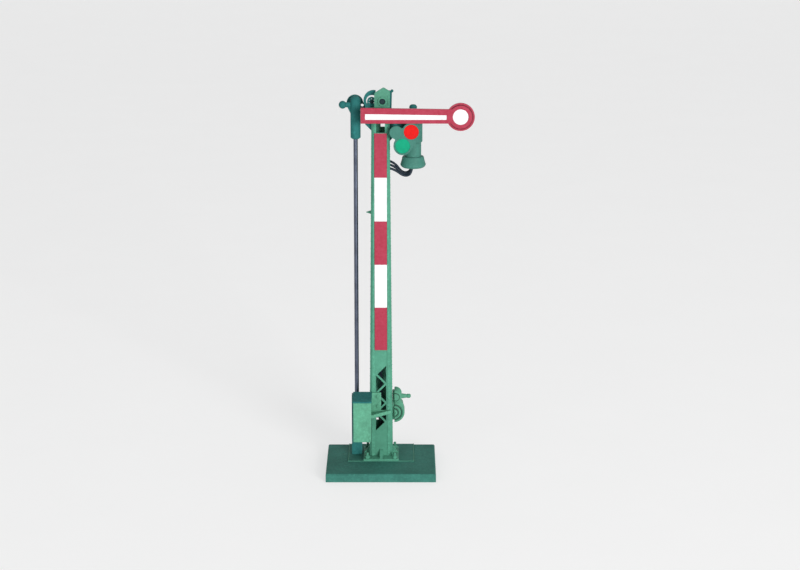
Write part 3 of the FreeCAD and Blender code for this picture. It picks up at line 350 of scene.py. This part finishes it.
def finish_of(paint):
    """Every finish by name."""
    return {
        "mast_green": painted("mast paint", tuple(paint.mast)),
        "lamp_green": painted("lamp paint", tuple(paint.lamp)),
        "cap_green": painted("cap paint", tuple(paint.cap)),
        "box_green": painted("box paint", tuple(paint.bright)),
        # The dark paint is painted shade: a darker copy of the green for parts in shade.
        "dark_green": painted("dark paint", tuple(paint.shaded_green), 0.66, gloss=0.1),
        # The base paint's darkness is painted shade on its upward face.
        "base_green": painted("base paint", tuple(paint.base), 0.7, 0.05, 7000, 0.1),
        "red_enamel": enamel("red enamel", tuple(paint.red), (0.4, 0.045, 0.085)),
        "white_enamel": enamel("white enamel", tuple(paint.white), (0.78, 0.8, 0.8)),
        "rod_steel": drawn_steel("rod steel", tuple(paint.steel)),
        # The pins' steel is blued and made darker still: painted shade for the cap's axle
        # hole.
        "dark_steel": drawn_steel("pin steel", (0.02, 0.036, 0.042), 0.45),
        "brass_bush": drawn_steel("bush brass", (0.5, 0.34, 0.13), 0.33),
        "red_glass": coloured_glass("red glass", tuple(paint.red_glass), 0.35),
        "green_glass": coloured_glass("green glass", tuple(paint.green_glass), 0.3),
        "clear_glass": clear_glass("lens glass", (0.95, 0.96, 0.93)),
        "bulb_glass": clear_glass("bulb glass", (0.96, 0.9, 0.74), 0.14),
        "lead_black": sleeve("lead sleeve", tuple(paint.lead)),
    }


SLOT_OF = {part["node"]: part["material_slot"] for part in FRAME["record"]["subparts"]}
MADE = {}


def finish(slot):
    """The material of a record slot, made once."""
    if not MADE:
        MADE.update(finish_of(bpy.context.scene.signal_paint))
    return MADE[slot]


def shaded_copy(slot, factor):
    """A darker copy of a finish: painted shade for grooves and creases of the same paint."""
    name = f"{finish(slot).name} groove"
    material = bpy.data.materials.get(name)
    if material is None:
        material = finish(slot).copy()
        material.name = name
        links, nodes = material.node_tree.links, material.node_tree.nodes
        surface = nodes["Principled BSDF"].inputs["Base Color"]
        node = nodes.new("ShaderNodeMix")
        node.data_type = "RGBA"
        node.blend_type = "MULTIPLY"
        node.inputs["Factor"].default_value = 1.0
        node.inputs[7].default_value = (factor, factor, factor, 1.0)
        links.new(surface.links[0].from_socket, node.inputs[6])
        links.new(node.outputs[2], surface)
    return material


def coat(obj, slot):
    obj.data.materials.clear()
    obj.data.materials.append(finish(slot))


def report_done(text):
    print(f"made {text}")
    return {"FINISHED"}


# ---------------------------------------------------------------- mesh helpers


def clean_copy(node):
    """The node's shape as one welded mesh with flat faces joined up."""
    mesh = NODES[node].data.copy()
    shape = bmesh.new()
    shape.from_mesh(mesh)
    bmesh.ops.remove_doubles(shape, verts=shape.verts, dist=WELD)
    bmesh.ops.dissolve_limit(shape, angle_limit=FLAT, verts=shape.verts,
                             edges=shape.edges, delimit={"NORMAL"})
    shape.to_mesh(mesh)
    shape.free()
    obj = bpy.data.objects.new(f"{node}_softened", mesh)
    bpy.context.scene.collection.objects.link(obj)
    return obj


def apply_all(obj):
    """Turns the modifiers' result into the plain mesh."""
    bpy.context.view_layer.update()
    graph = bpy.context.evaluated_depsgraph_get()
    mesh = bpy.data.meshes.new_from_object(obj.evaluated_get(graph))
    obj.modifiers.clear()
    obj.data = mesh
    return obj


def soften(node, width, segments=2):
    """Replaces a node with the same shape, its sharp edges rounded."""
    obj = clean_copy(node)
    rounding = obj.modifiers.new("Rounding", "BEVEL")
    rounding.width = width * MM
    rounding.segments = segments
    rounding.limit_method = "ANGLE"
    rounding.angle_limit = math.radians(EDGE_ANGLE)
    rounding.harden_normals = False
    rounding.use_clamp_overlap = True
    smooth(obj)
    apply_all(obj)
    slot = SLOT_OF[node]
    coat(obj, slot)
    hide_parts(node)
    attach(obj, NODES[node]["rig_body"])
    return obj


def smooth(obj, angle=EDGE_ANGLE):
    """Smooth shading that keeps the true edges."""
    limit = math.radians(angle)
    shape = bmesh.new()
    shape.from_mesh(obj.data)
    for face in shape.faces:
        face.smooth = True
    for edge in shape.edges:
        if len(edge.link_faces) == 2:
            edge.smooth = edge.calc_face_angle(0.0) < limit
    shape.to_mesh(obj.data)
    shape.free()


# ---------------------------------------------------------------- repeated fittings


class Recipe:
    """A Geometry Nodes tree whose sizes are named inputs."""

    def __init__(self, name):
        self.tree = bpy.data.node_groups.new(name, "GeometryNodeTree")
        self.tree.interface.new_socket("Geometry", in_out="OUTPUT",
                                       socket_type="NodeSocketGeometry")
        self.entry = self.tree.nodes.new("NodeGroupInput")
        self.exit = self.tree.nodes.new("NodeGroupOutput")
        self.values = {}

    def size(self, label, value):
        """A named input of the tree, with the value this object gives it."""
        kind = {int: "NodeSocketInt", float: "NodeSocketFloat"}.get(type(value),
                                                                    "NodeSocketVector")
        socket = self.tree.interface.new_socket(label, in_out="INPUT", socket_type=kind)
        self.values[socket.identifier] = value
        return self.entry.outputs[label]

    def add(self, kind, **inputs):
        node = self.tree.nodes.new(f"GeometryNode{kind}")
        for key, value in inputs.items():
            socket = node.inputs[key.replace("_", " ")]
            if isinstance(value, bpy.types.NodeSocket):
                self.tree.links.new(value, socket)
            else:
                socket.default_value = value
        return node

    def spread(self, points, head):
        """The head on every point."""
        node = self.add("InstanceOnPoints")
        self.tree.links.new(points, node.inputs["Points"])
        self.tree.links.new(head, node.inputs["Instance"])
        return node.outputs["Instances"]

    def join(self, parts):
        node = self.add("JoinGeometry")
        for part in parts:
            self.tree.links.new(part, node.inputs["Geometry"])
        return node.outputs["Geometry"]

    def make(self, name, parts, slot, body, material=None):
        """Ends the tree, turns its result into a plain mesh and gives it to a body."""
        real = self.add("RealizeInstances", Geometry=self.join(parts))
        coated = self.add("SetMaterial", Geometry=real.outputs["Geometry"],
                          Material=material or finish(slot))
        self.tree.links.new(coated.outputs["Geometry"], self.exit.inputs["Geometry"])
        obj = bpy.data.objects.new(name, bpy.data.meshes.new(name))
        bpy.context.scene.collection.objects.link(obj)
        modifier = obj.modifiers.new("Recipe", "NODES")
        modifier.node_group = self.tree
        for identifier, value in self.values.items():
            modifier[identifier] = value
        apply_all(obj)
        smooth(obj, ROUND_ANGLE)
        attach(obj, body)
        return obj


def rivet(recipe, radius, squash):
    """A rivet's head: a small ball, flattened along one axis."""
    ball = recipe.add("MeshUVSphere", Segments=10, Rings=6, Radius=radius)
    flat = recipe.add("Transform", Geometry=ball.outputs["Mesh"], Scale=squash)
    return flat.outputs["Geometry"]


def row(recipe, label, start, end, count):
    """Evenly spaced points between two ends."""
    line = recipe.add("MeshLine", Count=recipe.size(f"{label} count", count))
    line.mode = "END_POINTS"
    recipe.tree.links.new(recipe.size(f"{label} start", start),
                          line.inputs["Start Location"])
    recipe.tree.links.new(recipe.size(f"{label} end", end), line.inputs["Offset"])
    return line.outputs["Mesh"]


def ring(recipe, label, centre, radius, count, axis):
    """Points round a circle whose axis is X, Y or Z."""
    circle = recipe.add("MeshCircle", Vertices=recipe.size(f"{label} count", count),
                        Radius=recipe.size(f"{label} radius", radius))
    turn = {"X": (0.0, math.pi / 2, 0.0), "Y": (math.pi / 2, 0.0, 0.0),
            "Z": (0.0, 0.0, 0.0)}[axis]
    moved = recipe.add("Transform", Geometry=circle.outputs["Mesh"], Rotation=turn,
                       Translation=recipe.size(f"{label} centre", centre))
    return moved.outputs["Geometry"]


def middle_of(node):
    low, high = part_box(node)
    return tuple((a + b) / 2 for a, b in zip(low, high))


MAST_LOW, MAST_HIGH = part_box("mast_column")
MAST_TAPER = 0.008275


def mast_half(up):
    """Half the mast's width at a height, in metres."""
    return MAST_HIGH[0] - MAST_TAPER * (up - MAST_LOW[2])


# ---------------------------------------------------------------- operators


class SIGNAL_OT_paint_frame(bpy.types.Operator):
    """Gives every frame node its finish"""

    bl_idname = "signal.paint_frame"
    bl_label = "Paint the frame"

    def execute(self, context):
        for node, obj in NODES.items():
            coat(obj, SLOT_OF[node])
            for face in obj.data.polygons:
                face.use_smooth = False
        return report_done("paint")


CASTINGS = ["base_plate", "base_insert", "mast_foot", "foot_bolts", "mast_peg",
            "drive_box", "drive_box_lid", "rod_guide", "guide_strap", "crank_lever",
            "rod_head", "head_knob", "lamp_chimney", "lamp_base", "winch_bracket",
            "winch_coil", "winch_drum", "winch_handle", "arm_hub", "cap_sheave",
            "hoist_pulley", "pulley_bracket", "lamp_arm", "box_screws", "lamp_body"]
SHEETS = ["arm_blade", "mast_board", "cap_front_plate", "cap_rear_plate", "drive_bracket",
          "spectacle_plate", "spectacle_link", "mast_column", "pull_rod", "red_glass",
          "green_glass", "shaft_bushes", "arm_shaft", "head_pin", "link_pin",
          "cap_axle", "pulley_pin", "spectacle_pin", "bulb_holder", "lamp_bulb",
          "lamp_lens"]


class SIGNAL_OT_soften_castings(bpy.types.Operator):
    """Rounds the edges of the castings"""

    bl_idname = "signal.soften_castings"
    bl_label = "Soften the castings"

    def execute(self, context):
        width = context.scene.signal_sizes.edge
        for node in CASTINGS:
            soften(node, width)
        return report_done("castings")


class SIGNAL_OT_soften_sheets(bpy.types.Operator):
    """Rounds the edges of the thin pieces"""

    bl_idname = "signal.soften_sheets"
    bl_label = "Soften the sheet pieces"

    def execute(self, context):
        width = context.scene.signal_sizes.sheet_edge
        for node in SHEETS:
            soften(node, width)
        return report_done("sheet pieces")


# The leads lie side by side and rise towards the rear, in millimetres.
LEAD_ASIDE = 0.58
LEAD_LIFT = 0.72


def lead_route(number):
    """The route of one lead, from the bulb's holder to the outlet in the base."""
    aside, lift = (number - 1) * LEAD_ASIDE, (number - 1) * LEAD_LIFT
    return [(7.4, aside, 73.6), (7.3, aside, 70.0 + lift * 0.3),
            (5.3 - lift * 0.3, aside, 69.1 + lift * 0.35), (3.1, aside, 71.4 + lift),
            (0.1, aside, 72.0 + lift), (0.0, aside + 0.05, 66.0),
            (0.0, aside + 1.3, 0.3)]


class SIGNAL_OT_leads(bpy.types.Operator):
    """Lays the lamp's three leads down into the mast"""

    bl_idname = "signal.leads"
    bl_label = "Lay the leads"

    def execute(self, context):
        camera()
        radius = context.scene.signal_sizes.lead * MM
        for number, name in enumerate(("front", "middle", "rear")):
            route = [Vector(point) * MM for point in lead_route(number)]
            data = bpy.data.curves.new(f"lead_{name}", "CURVE")
            data.dimensions = "3D"
            data.bevel_depth = radius
            data.bevel_resolution = 4
            data.resolution_u = 24
            data.use_fill_caps = True
            spline = data.splines.new("NURBS")
            spline.points.add(len(route) - 1)
            for point, at in zip(spline.points, route):
                point.co = (*at, 1.0)
            spline.order_u = 3
            spline.use_endpoint_u = True
            obj = bpy.data.objects.new(f"lead_{name}", data)
            context.scene.collection.objects.link(obj)
            data.materials.append(finish("lead_black"))
            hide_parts("lamp_leads")
            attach(obj, "mast")
        return report_done("leads")


# Heights of the rivet rows' ends, the half width of the mast's recessed panel, and the
# distances that keep the heads on the corner angles.
ROW_LOW, FACE_HIGH, SIDE_HIGH = 9.2 * MM, 52 * MM, 75.5 * MM
PANEL_HALF = 1.47 * MM
FACE_INSET = 0.5 * MM
SIDE_INSET = 0.7 * MM


class SIGNAL_OT_mast_rivets(bpy.types.Operator):
    """Sets rows of rivets along the mast's corner angles"""

    bl_idname = "signal.mast_rivets"
    bl_label = "Mast rivets"

    def execute(self, context):
        recipe = Recipe("mast rivets")
        radius = recipe.size("Head radius", context.scene.signal_sizes.rivet * MM)
        across = rivet(recipe, radius, (1.0, 0.5, 1.0))
        along = rivet(recipe, radius, (0.5, 1.0, 1.0))
        parts = []
        for side in (-1, 1):
            for face in (-1, 1):
                ends = [(side * (PANEL_HALF + mast_half(up) - FACE_INSET) / 2,
                         face * mast_half(up), up) for up in (ROW_LOW, FACE_HIGH)]
                points = row(recipe, f"face {side} {face}", *ends, 25)
                parts.append(recipe.spread(points, across))
                ends = [(side * mast_half(up), face * (mast_half(up) + SIDE_INSET) / 2, up)
                        for up in (ROW_LOW, SIDE_HIGH)]
                points = row(recipe, f"side {side} {face}", *ends, 38)
                parts.append(recipe.spread(points, along))
        recipe.make("mast_rivets", parts, "mast_green", "mast")
        return report_done("mast rivets")


class SIGNAL_OT_insert_highlight(bpy.types.Operator):
    """Runs a thin bead in a lighter green round the insert in the base: a painted highlight
    along the insert's edge
    """

    bl_idname = "signal.insert_flash"
    bl_label = "Insert bead"

    def execute(self, context):
        recipe = Recipe("insert bead")
        radius = recipe.size("Bead radius", context.scene.signal_sizes.bead * MM)
        (left, front, _), (right, back, top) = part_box("base_insert")
        corners = [(left, back, top), (left, front, top), (right, front, top),
                   (right, back, top)]
        profile = recipe.add("CurvePrimitiveCircle", Resolution=8, Radius=radius)
        parts = []
        for side, (start, end) in enumerate(zip(corners, corners[1:])):
            line = row(recipe, f"side {side}", start, end, 12)
            curve = recipe.add("MeshToCurve", Mesh=line)
            tube = recipe.add("CurveToMesh", Curve=curve.outputs["Curve"],
                              Profile_Curve=profile.outputs["Curve"])
            tube.inputs["Fill Caps"].default_value = True
            parts.append(tube.outputs["Mesh"])
        # The lighter mast green on the darker base is a painted highlight along the insert's
        # edge.
        recipe.make("insert_bead", parts, "mast_green", "mast")
        return report_done("insert bead")


def hoop(recipe, label, centre, radius, thick, count=40):
    """A closed tube round a circle whose axis is Y."""
    circle = recipe.add("CurvePrimitiveCircle", Resolution=count,
                        Radius=recipe.size(f"{label} radius", radius))
    profile = recipe.add("CurvePrimitiveCircle", Resolution=8,
                         Radius=recipe.size(f"{label} thickness", thick))
    tube = recipe.add("CurveToMesh", Curve=circle.outputs["Curve"],
                      Profile_Curve=profile.outputs["Curve"])
    moved = recipe.add("Transform", Geometry=tube.outputs["Mesh"],
                       Rotation=(math.pi / 2, 0.0, 0.0),
                       Translation=recipe.size(f"{label} centre", centre))
    return moved.outputs["Geometry"]


# Radii of the disc's stepped rim and of its white face's border, and their depths.
STEP_RADIUS, STEP_DEPTH = 2.72 * MM, 0.2 * MM
BORDER_RADIUS, BORDER_DEPTH = 1.87 * MM, 0.16 * MM


class SIGNAL_OT_disc_groove(bpy.types.Operator):
    """Draws dark rings round the rim and the white face of the arm's disc: painted shade in
    their grooves
    """

    bl_idname = "signal.disc_groove"
    bl_label = "Disc groove"

    def execute(self, context):
        recipe = Recipe("disc groove")
        side, _, up = middle_of("arm_white_disc")
        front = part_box("arm_blade")[0][1]
        groove = context.scene.signal_sizes.groove * MM
        parts = [hoop(recipe, "step", (side, front + STEP_DEPTH, up), STEP_RADIUS,
                      groove, 64),
                 hoop(recipe, "border", (side, front + BORDER_DEPTH, up), BORDER_RADIUS,
                      groove / 2, 64)]
        # The rings take a darker copy of the red: painted shade.
        recipe.make("disc_groove", parts, "red_enamel", "arm", shaded_copy("red_enamel", 0.35))
        return report_done("disc groove")


# The winch's coil: its radius and the depth of each step on its face. The drum has
# ribs that leave its ends free.
COIL_RADIUS = 2.5 * MM
COIL_STEP = 0.28 * MM
DRUM_TURNS = 7
DRUM_ENDS = 0.8 * MM
FIRST_TURN = 0.7 * MM
DRUM_CREASE = 0.35 * MM


class SIGNAL_OT_winch_coils(bpy.types.Operator):
    """Winds the dummy rope's turns over the winch's drum and coil, and lays dark rings of
    painted shade in the creases
    """

    bl_idname = "signal.winch_coils"
    bl_label = "Winch coils"

    def execute(self, context):
        thick = context.scene.signal_sizes.rope * MM
        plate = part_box("winch_bracket")[1][0]
        (_, front, low), (right, back, high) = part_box("winch_drum")
        rim = (high - low) / 2
        drum = (right - rim, (low + high) / 2)
        (_, coil_front, coil_low), (coil_right, _, _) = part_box("winch_coil")
        coil = (coil_right - COIL_RADIUS, coil_low + COIL_RADIUS)
        step = (back - front - DRUM_ENDS) / DRUM_TURNS
        turns = [(drum, front + FIRST_TURN + step * k, rim - thick * 0.6)
                 for k in range(DRUM_TURNS)]
        turns += [(coil, coil_front + COIL_STEP * (2.2 - k), COIL_RADIUS * (0.88 - k / 3))
                  for k in range(3)]
        # Dark rings in the creases of the drum and coil: painted shade.
        creases = [(drum, front + DRUM_CREASE, rim * 0.62)]
        creases += [(coil, coil_front + COIL_STEP * (2.5 - k), COIL_RADIUS * (0.7 - k / 3))
                    for k in range(2)]
        for name, rows, material in (
                ("winch_turns", turns, None),
                ("winch_creases", creases, shaded_copy("box_green", 0.22))):
            recipe = Recipe(name.replace("_", " "))
            parts = [hoop(recipe, f"turn {number}", (at[0], along, at[1]), radius, thick)
                     for number, (at, along, radius) in enumerate(rows)]
            obj = recipe.make(name, parts, "box_green", "mast", material)
            keep_outside(obj, plate)
        return report_done("winch coils")


def keep_outside(obj, plate):
    """Cuts away what would lie inside the winch's plate or the mast."""
    shape = bmesh.new()
    shape.from_mesh(obj.data)
    whole = shape.verts[:] + shape.edges[:] + shape.faces[:]
    bmesh.ops.bisect_plane(shape, geom=whole, plane_co=(plate, 0, 0),
                           plane_no=(1, 0, 0), clear_inner=True)
    rim = [edge for edge in shape.edges if edge.is_boundary]
    bmesh.ops.holes_fill(shape, edges=rim, sides=0)
    bmesh.ops.recalc_face_normals(shape, faces=shape.faces)
    shape.to_mesh(obj.data)
    shape.free()


RIVET_INSET = 0.4 * MM


class SIGNAL_OT_box_rivets(bpy.types.Operator):
    """Sets small rivets round the drive box and on the winch plate"""

    bl_idname = "signal.box_rivets"
    bl_label = "Box rivets"

    def execute(self, context):
        recipe = Recipe("box rivets")
        radius = recipe.size("Head radius", context.scene.signal_sizes.small_rivet * MM)
        across = rivet(recipe, radius, (1.0, 0.6, 1.0))
        along = rivet(recipe, radius, (0.6, 1.0, 1.0))
        (left, front, low), (right, back, high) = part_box("drive_box")
        parts = []
        for up in (low + RIVET_INSET, high - RIVET_INSET):
            ends = (left + RIVET_INSET, front, up), (right - RIVET_INSET, front, up)
            parts.append(recipe.spread(row(recipe, f"front {up:.4f}", *ends, 5), across))
            ends = (left, front + RIVET_INSET, up), (left, back - RIVET_INSET, up)
            parts.append(recipe.spread(row(recipe, f"left {up:.4f}", *ends, 6), along))
        (_, front, low), (right, back, high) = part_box("winch_bracket")
        for up in (low + RIVET_INSET, high - RIVET_INSET):
            ends = (right, front + RIVET_INSET, up), (right, back - RIVET_INSET, up)
            parts.append(recipe.spread(row(recipe, f"winch {up:.4f}", *ends, 4), along))
        recipe.make("box_rivets", parts, "box_green", "mast")
        return report_done("box rivets")


# Circles of the lamp's vent studs and foot beads with their drops, and of the screws
# round each glass with the depth of their heads.
VENT_RADIUS, VENT_DROP = 1.22 * MM, 0.5 * MM
FOOT_RADIUS, FOOT_DROP = 2.44 * MM, 0.3 * MM
SCREW_RADIUS, SCREW_DEPTH = 1.89 * MM, 0.12 * MM


class SIGNAL_OT_lamp_trim(bpy.types.Operator):
    """Adds the lamp's ring of vent studs, its foot beads and the rim screws"""

    bl_idname = "signal.lamp_trim"
    bl_label = "Lamp trim"

    def execute(self, context):
        recipe = Recipe("lamp trim")
        radius = recipe.size("Head radius", context.scene.signal_sizes.small_rivet * MM)
        head = rivet(recipe, radius, (1.0, 1.0, 1.0))
        side, depth, _ = middle_of("lamp_chimney")
        vents = (side, depth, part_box("lamp_chimney")[0][2] - VENT_DROP)
        foot = (side, depth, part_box("lamp_base")[1][2] - FOOT_DROP)
        parts = [recipe.spread(
            ring(recipe, "vents", vents, VENT_RADIUS, 10, "Z"), head)]
        parts.append(recipe.spread(
            ring(recipe, "foot", foot, FOOT_RADIUS, 14, "Z"), head))
        recipe.make("lamp_trim", parts, "lamp_green", "mast")
        rims = Recipe("spectacle screws")
        radius = rims.size("Head radius", context.scene.signal_sizes.small_rivet * MM)
        head = rivet(rims, radius, (1.0, 0.6, 1.0))
        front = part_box("spectacle_plate")[0][1] + SCREW_DEPTH
        parts = []
        for glass in ("red_glass", "green_glass"):
            side, _, up = middle_of(glass)
            parts.append(rims.spread(
                ring(rims, glass, (side, front, up), SCREW_RADIUS, 6, "Y"), head))
        rims.make("spectacle_screws", parts, SLOT_OF["spectacle_plate"], "spectacle")
        return report_done("lamp trim")


class SIGNAL_OT_stage(bpy.types.Operator):
    """Lays the floor and sets the lights and the sky"""

    bl_idname = "signal.stage"
    bl_label = "Set the stage"

    def execute(self, context):
        floor()
        for name, place_at, aim, wide, power, tint in LIGHTS:
            add_light(name, place_at, aim, wide, power, tint)
        sky()
        context.scene.view_settings.view_transform = "Standard"
        return report_done("stage")


LIGHTS = [
    ("key", (0.4, -0.85, 0.22), (0, 0, 0.045), 0.3, 7.8, (1.0, 0.995, 0.98)),
    ("fill", (-0.5, -0.8, 0.3), (0, 0, 0.045), 0.6, 1.6, (0.97, 0.98, 1.0)),
    ("top", (0.15, -0.1, 0.9), (0, 0, 0.05), 0.5, 0.8, (1.0, 1.0, 1.0)),
]


# The floor's half width, its back wall's place and height, and the bend between them.
REACH, BACK, TOP, BEND, BEND_STEPS = 1.6, 1.1, 1.4, 0.35, 12
FLOOR_GAP = 0.02 * MM


def floor():
    """A pale sheet that lies under the object and bends up behind it."""
    low = CAD_BOX[0][2]
    mesh = bpy.data.meshes.new("floor")
    shape = bmesh.new()
    profile = [(-REACH, low), (BACK - BEND, low)]
    for k in range(1, BEND_STEPS + 1):
        turn = math.pi / 2 * k / BEND_STEPS
        profile.append((BACK - BEND + BEND * math.sin(turn),
                        low + BEND - BEND * math.cos(turn)))
    profile.append((BACK, TOP))
    rows = [[shape.verts.new((x, y, z - FLOOR_GAP)) for y, z in profile]
            for x in (-REACH, REACH)]
    for k in range(len(profile) - 1):
        shape.faces.new((rows[0][k], rows[1][k], rows[1][k + 1], rows[0][k + 1]))
    shape.to_mesh(mesh)
    shape.free()
    obj = bpy.data.objects.new("floor", mesh)
    bpy.context.scene.collection.objects.link(obj)
    for face in mesh.polygons:
        face.use_smooth = True
    tree = Tree("backdrop paper")
    where = place(tree)
    grain = noise(tree, where, 40, 3)
    tree.join(mix(tree, grain, (0.4, 0.4, 0.4), (0.42, 0.42, 0.42)),
              tree.surface.inputs["Base Color"])
    tree.set("Roughness", 0.9)
    tree.set("Specular IOR Level", 0.1)
    tree.set("Emission Color", (1.0, 1.0, 1.0, 1.0))
    tree.set("Emission Strength", 0.55)
    mesh.materials.append(tree.material)


def add_light(name, place_at, aim, wide, power, tint):
    data = bpy.data.lights.new(name, "AREA")
    data.size = wide
    data.energy = power
    data.color = tint
    obj = bpy.data.objects.new(name, data)
    obj.location = place_at
    way = Vector(aim) - Vector(place_at)
    obj.rotation_euler = way.to_track_quat("-Z", "Y").to_euler()
    bpy.context.scene.collection.objects.link(obj)


def sky():
    world = bpy.data.worlds.new("soft sky")
    bpy.context.scene.world = world
    world.use_nodes = True
    back = world.node_tree.nodes["Background"]
    back.inputs["Color"].default_value = (0.86, 0.87, 0.88, 1.0)
    back.inputs["Strength"].default_value = 0.4


def camera():
    data = bpy.data.cameras.new("camera")
    data.lens = 94.5
    data.sensor_width = 36.0
    data.clip_start = 0.01
    obj = bpy.data.objects.new("camera", data)
    obj.location = (0.00442, -0.4712, 0.1642)
    obj.rotation_euler = (math.radians(75.6), 0.0, 0.0)
    bpy.context.scene.collection.objects.link(obj)
    bpy.context.scene.camera = obj


class SIGNAL_PT_panel(bpy.types.Panel):
    """Lists the signal's steps and settings"""

    bl_idname = "SIGNAL_PT_panel"
    bl_label = "Signal mast"
    bl_space_type = "VIEW_3D"
    bl_region_type = "UI"
    bl_category = "Signal"

    def draw(self, context):
        for step in STEPS:
            self.layout.operator(step.bl_idname)
        for group in (context.scene.signal_paint, context.scene.signal_sizes):
            for name in group.__annotations__:
                self.layout.prop(group, name)


STEPS = [SIGNAL_OT_leads, SIGNAL_OT_paint_frame, SIGNAL_OT_soften_castings,
         SIGNAL_OT_soften_sheets, SIGNAL_OT_mast_rivets, SIGNAL_OT_insert_highlight,
         SIGNAL_OT_disc_groove, SIGNAL_OT_winch_coils, SIGNAL_OT_box_rivets,
         SIGNAL_OT_lamp_trim, SIGNAL_OT_stage]
CLASSES = [SignalPaint, SignalSizes, *STEPS, SIGNAL_PT_panel]


def register():
    for item in CLASSES:
        bpy.utils.register_class(item)
    bpy.types.Scene.signal_paint = PointerProperty(type=SignalPaint)
    bpy.types.Scene.signal_sizes = PointerProperty(type=SignalSizes)


def unregister():
    del bpy.types.Scene.signal_sizes
    del bpy.types.Scene.signal_paint
    for item in reversed(CLASSES):
        bpy.utils.unregister_class(item)


def main():
    register()
    for step in STEPS:
        group, name = step.bl_idname.split(".")
        getattr(getattr(bpy.ops, group), name)()


if __name__ == "__main__":
    main()
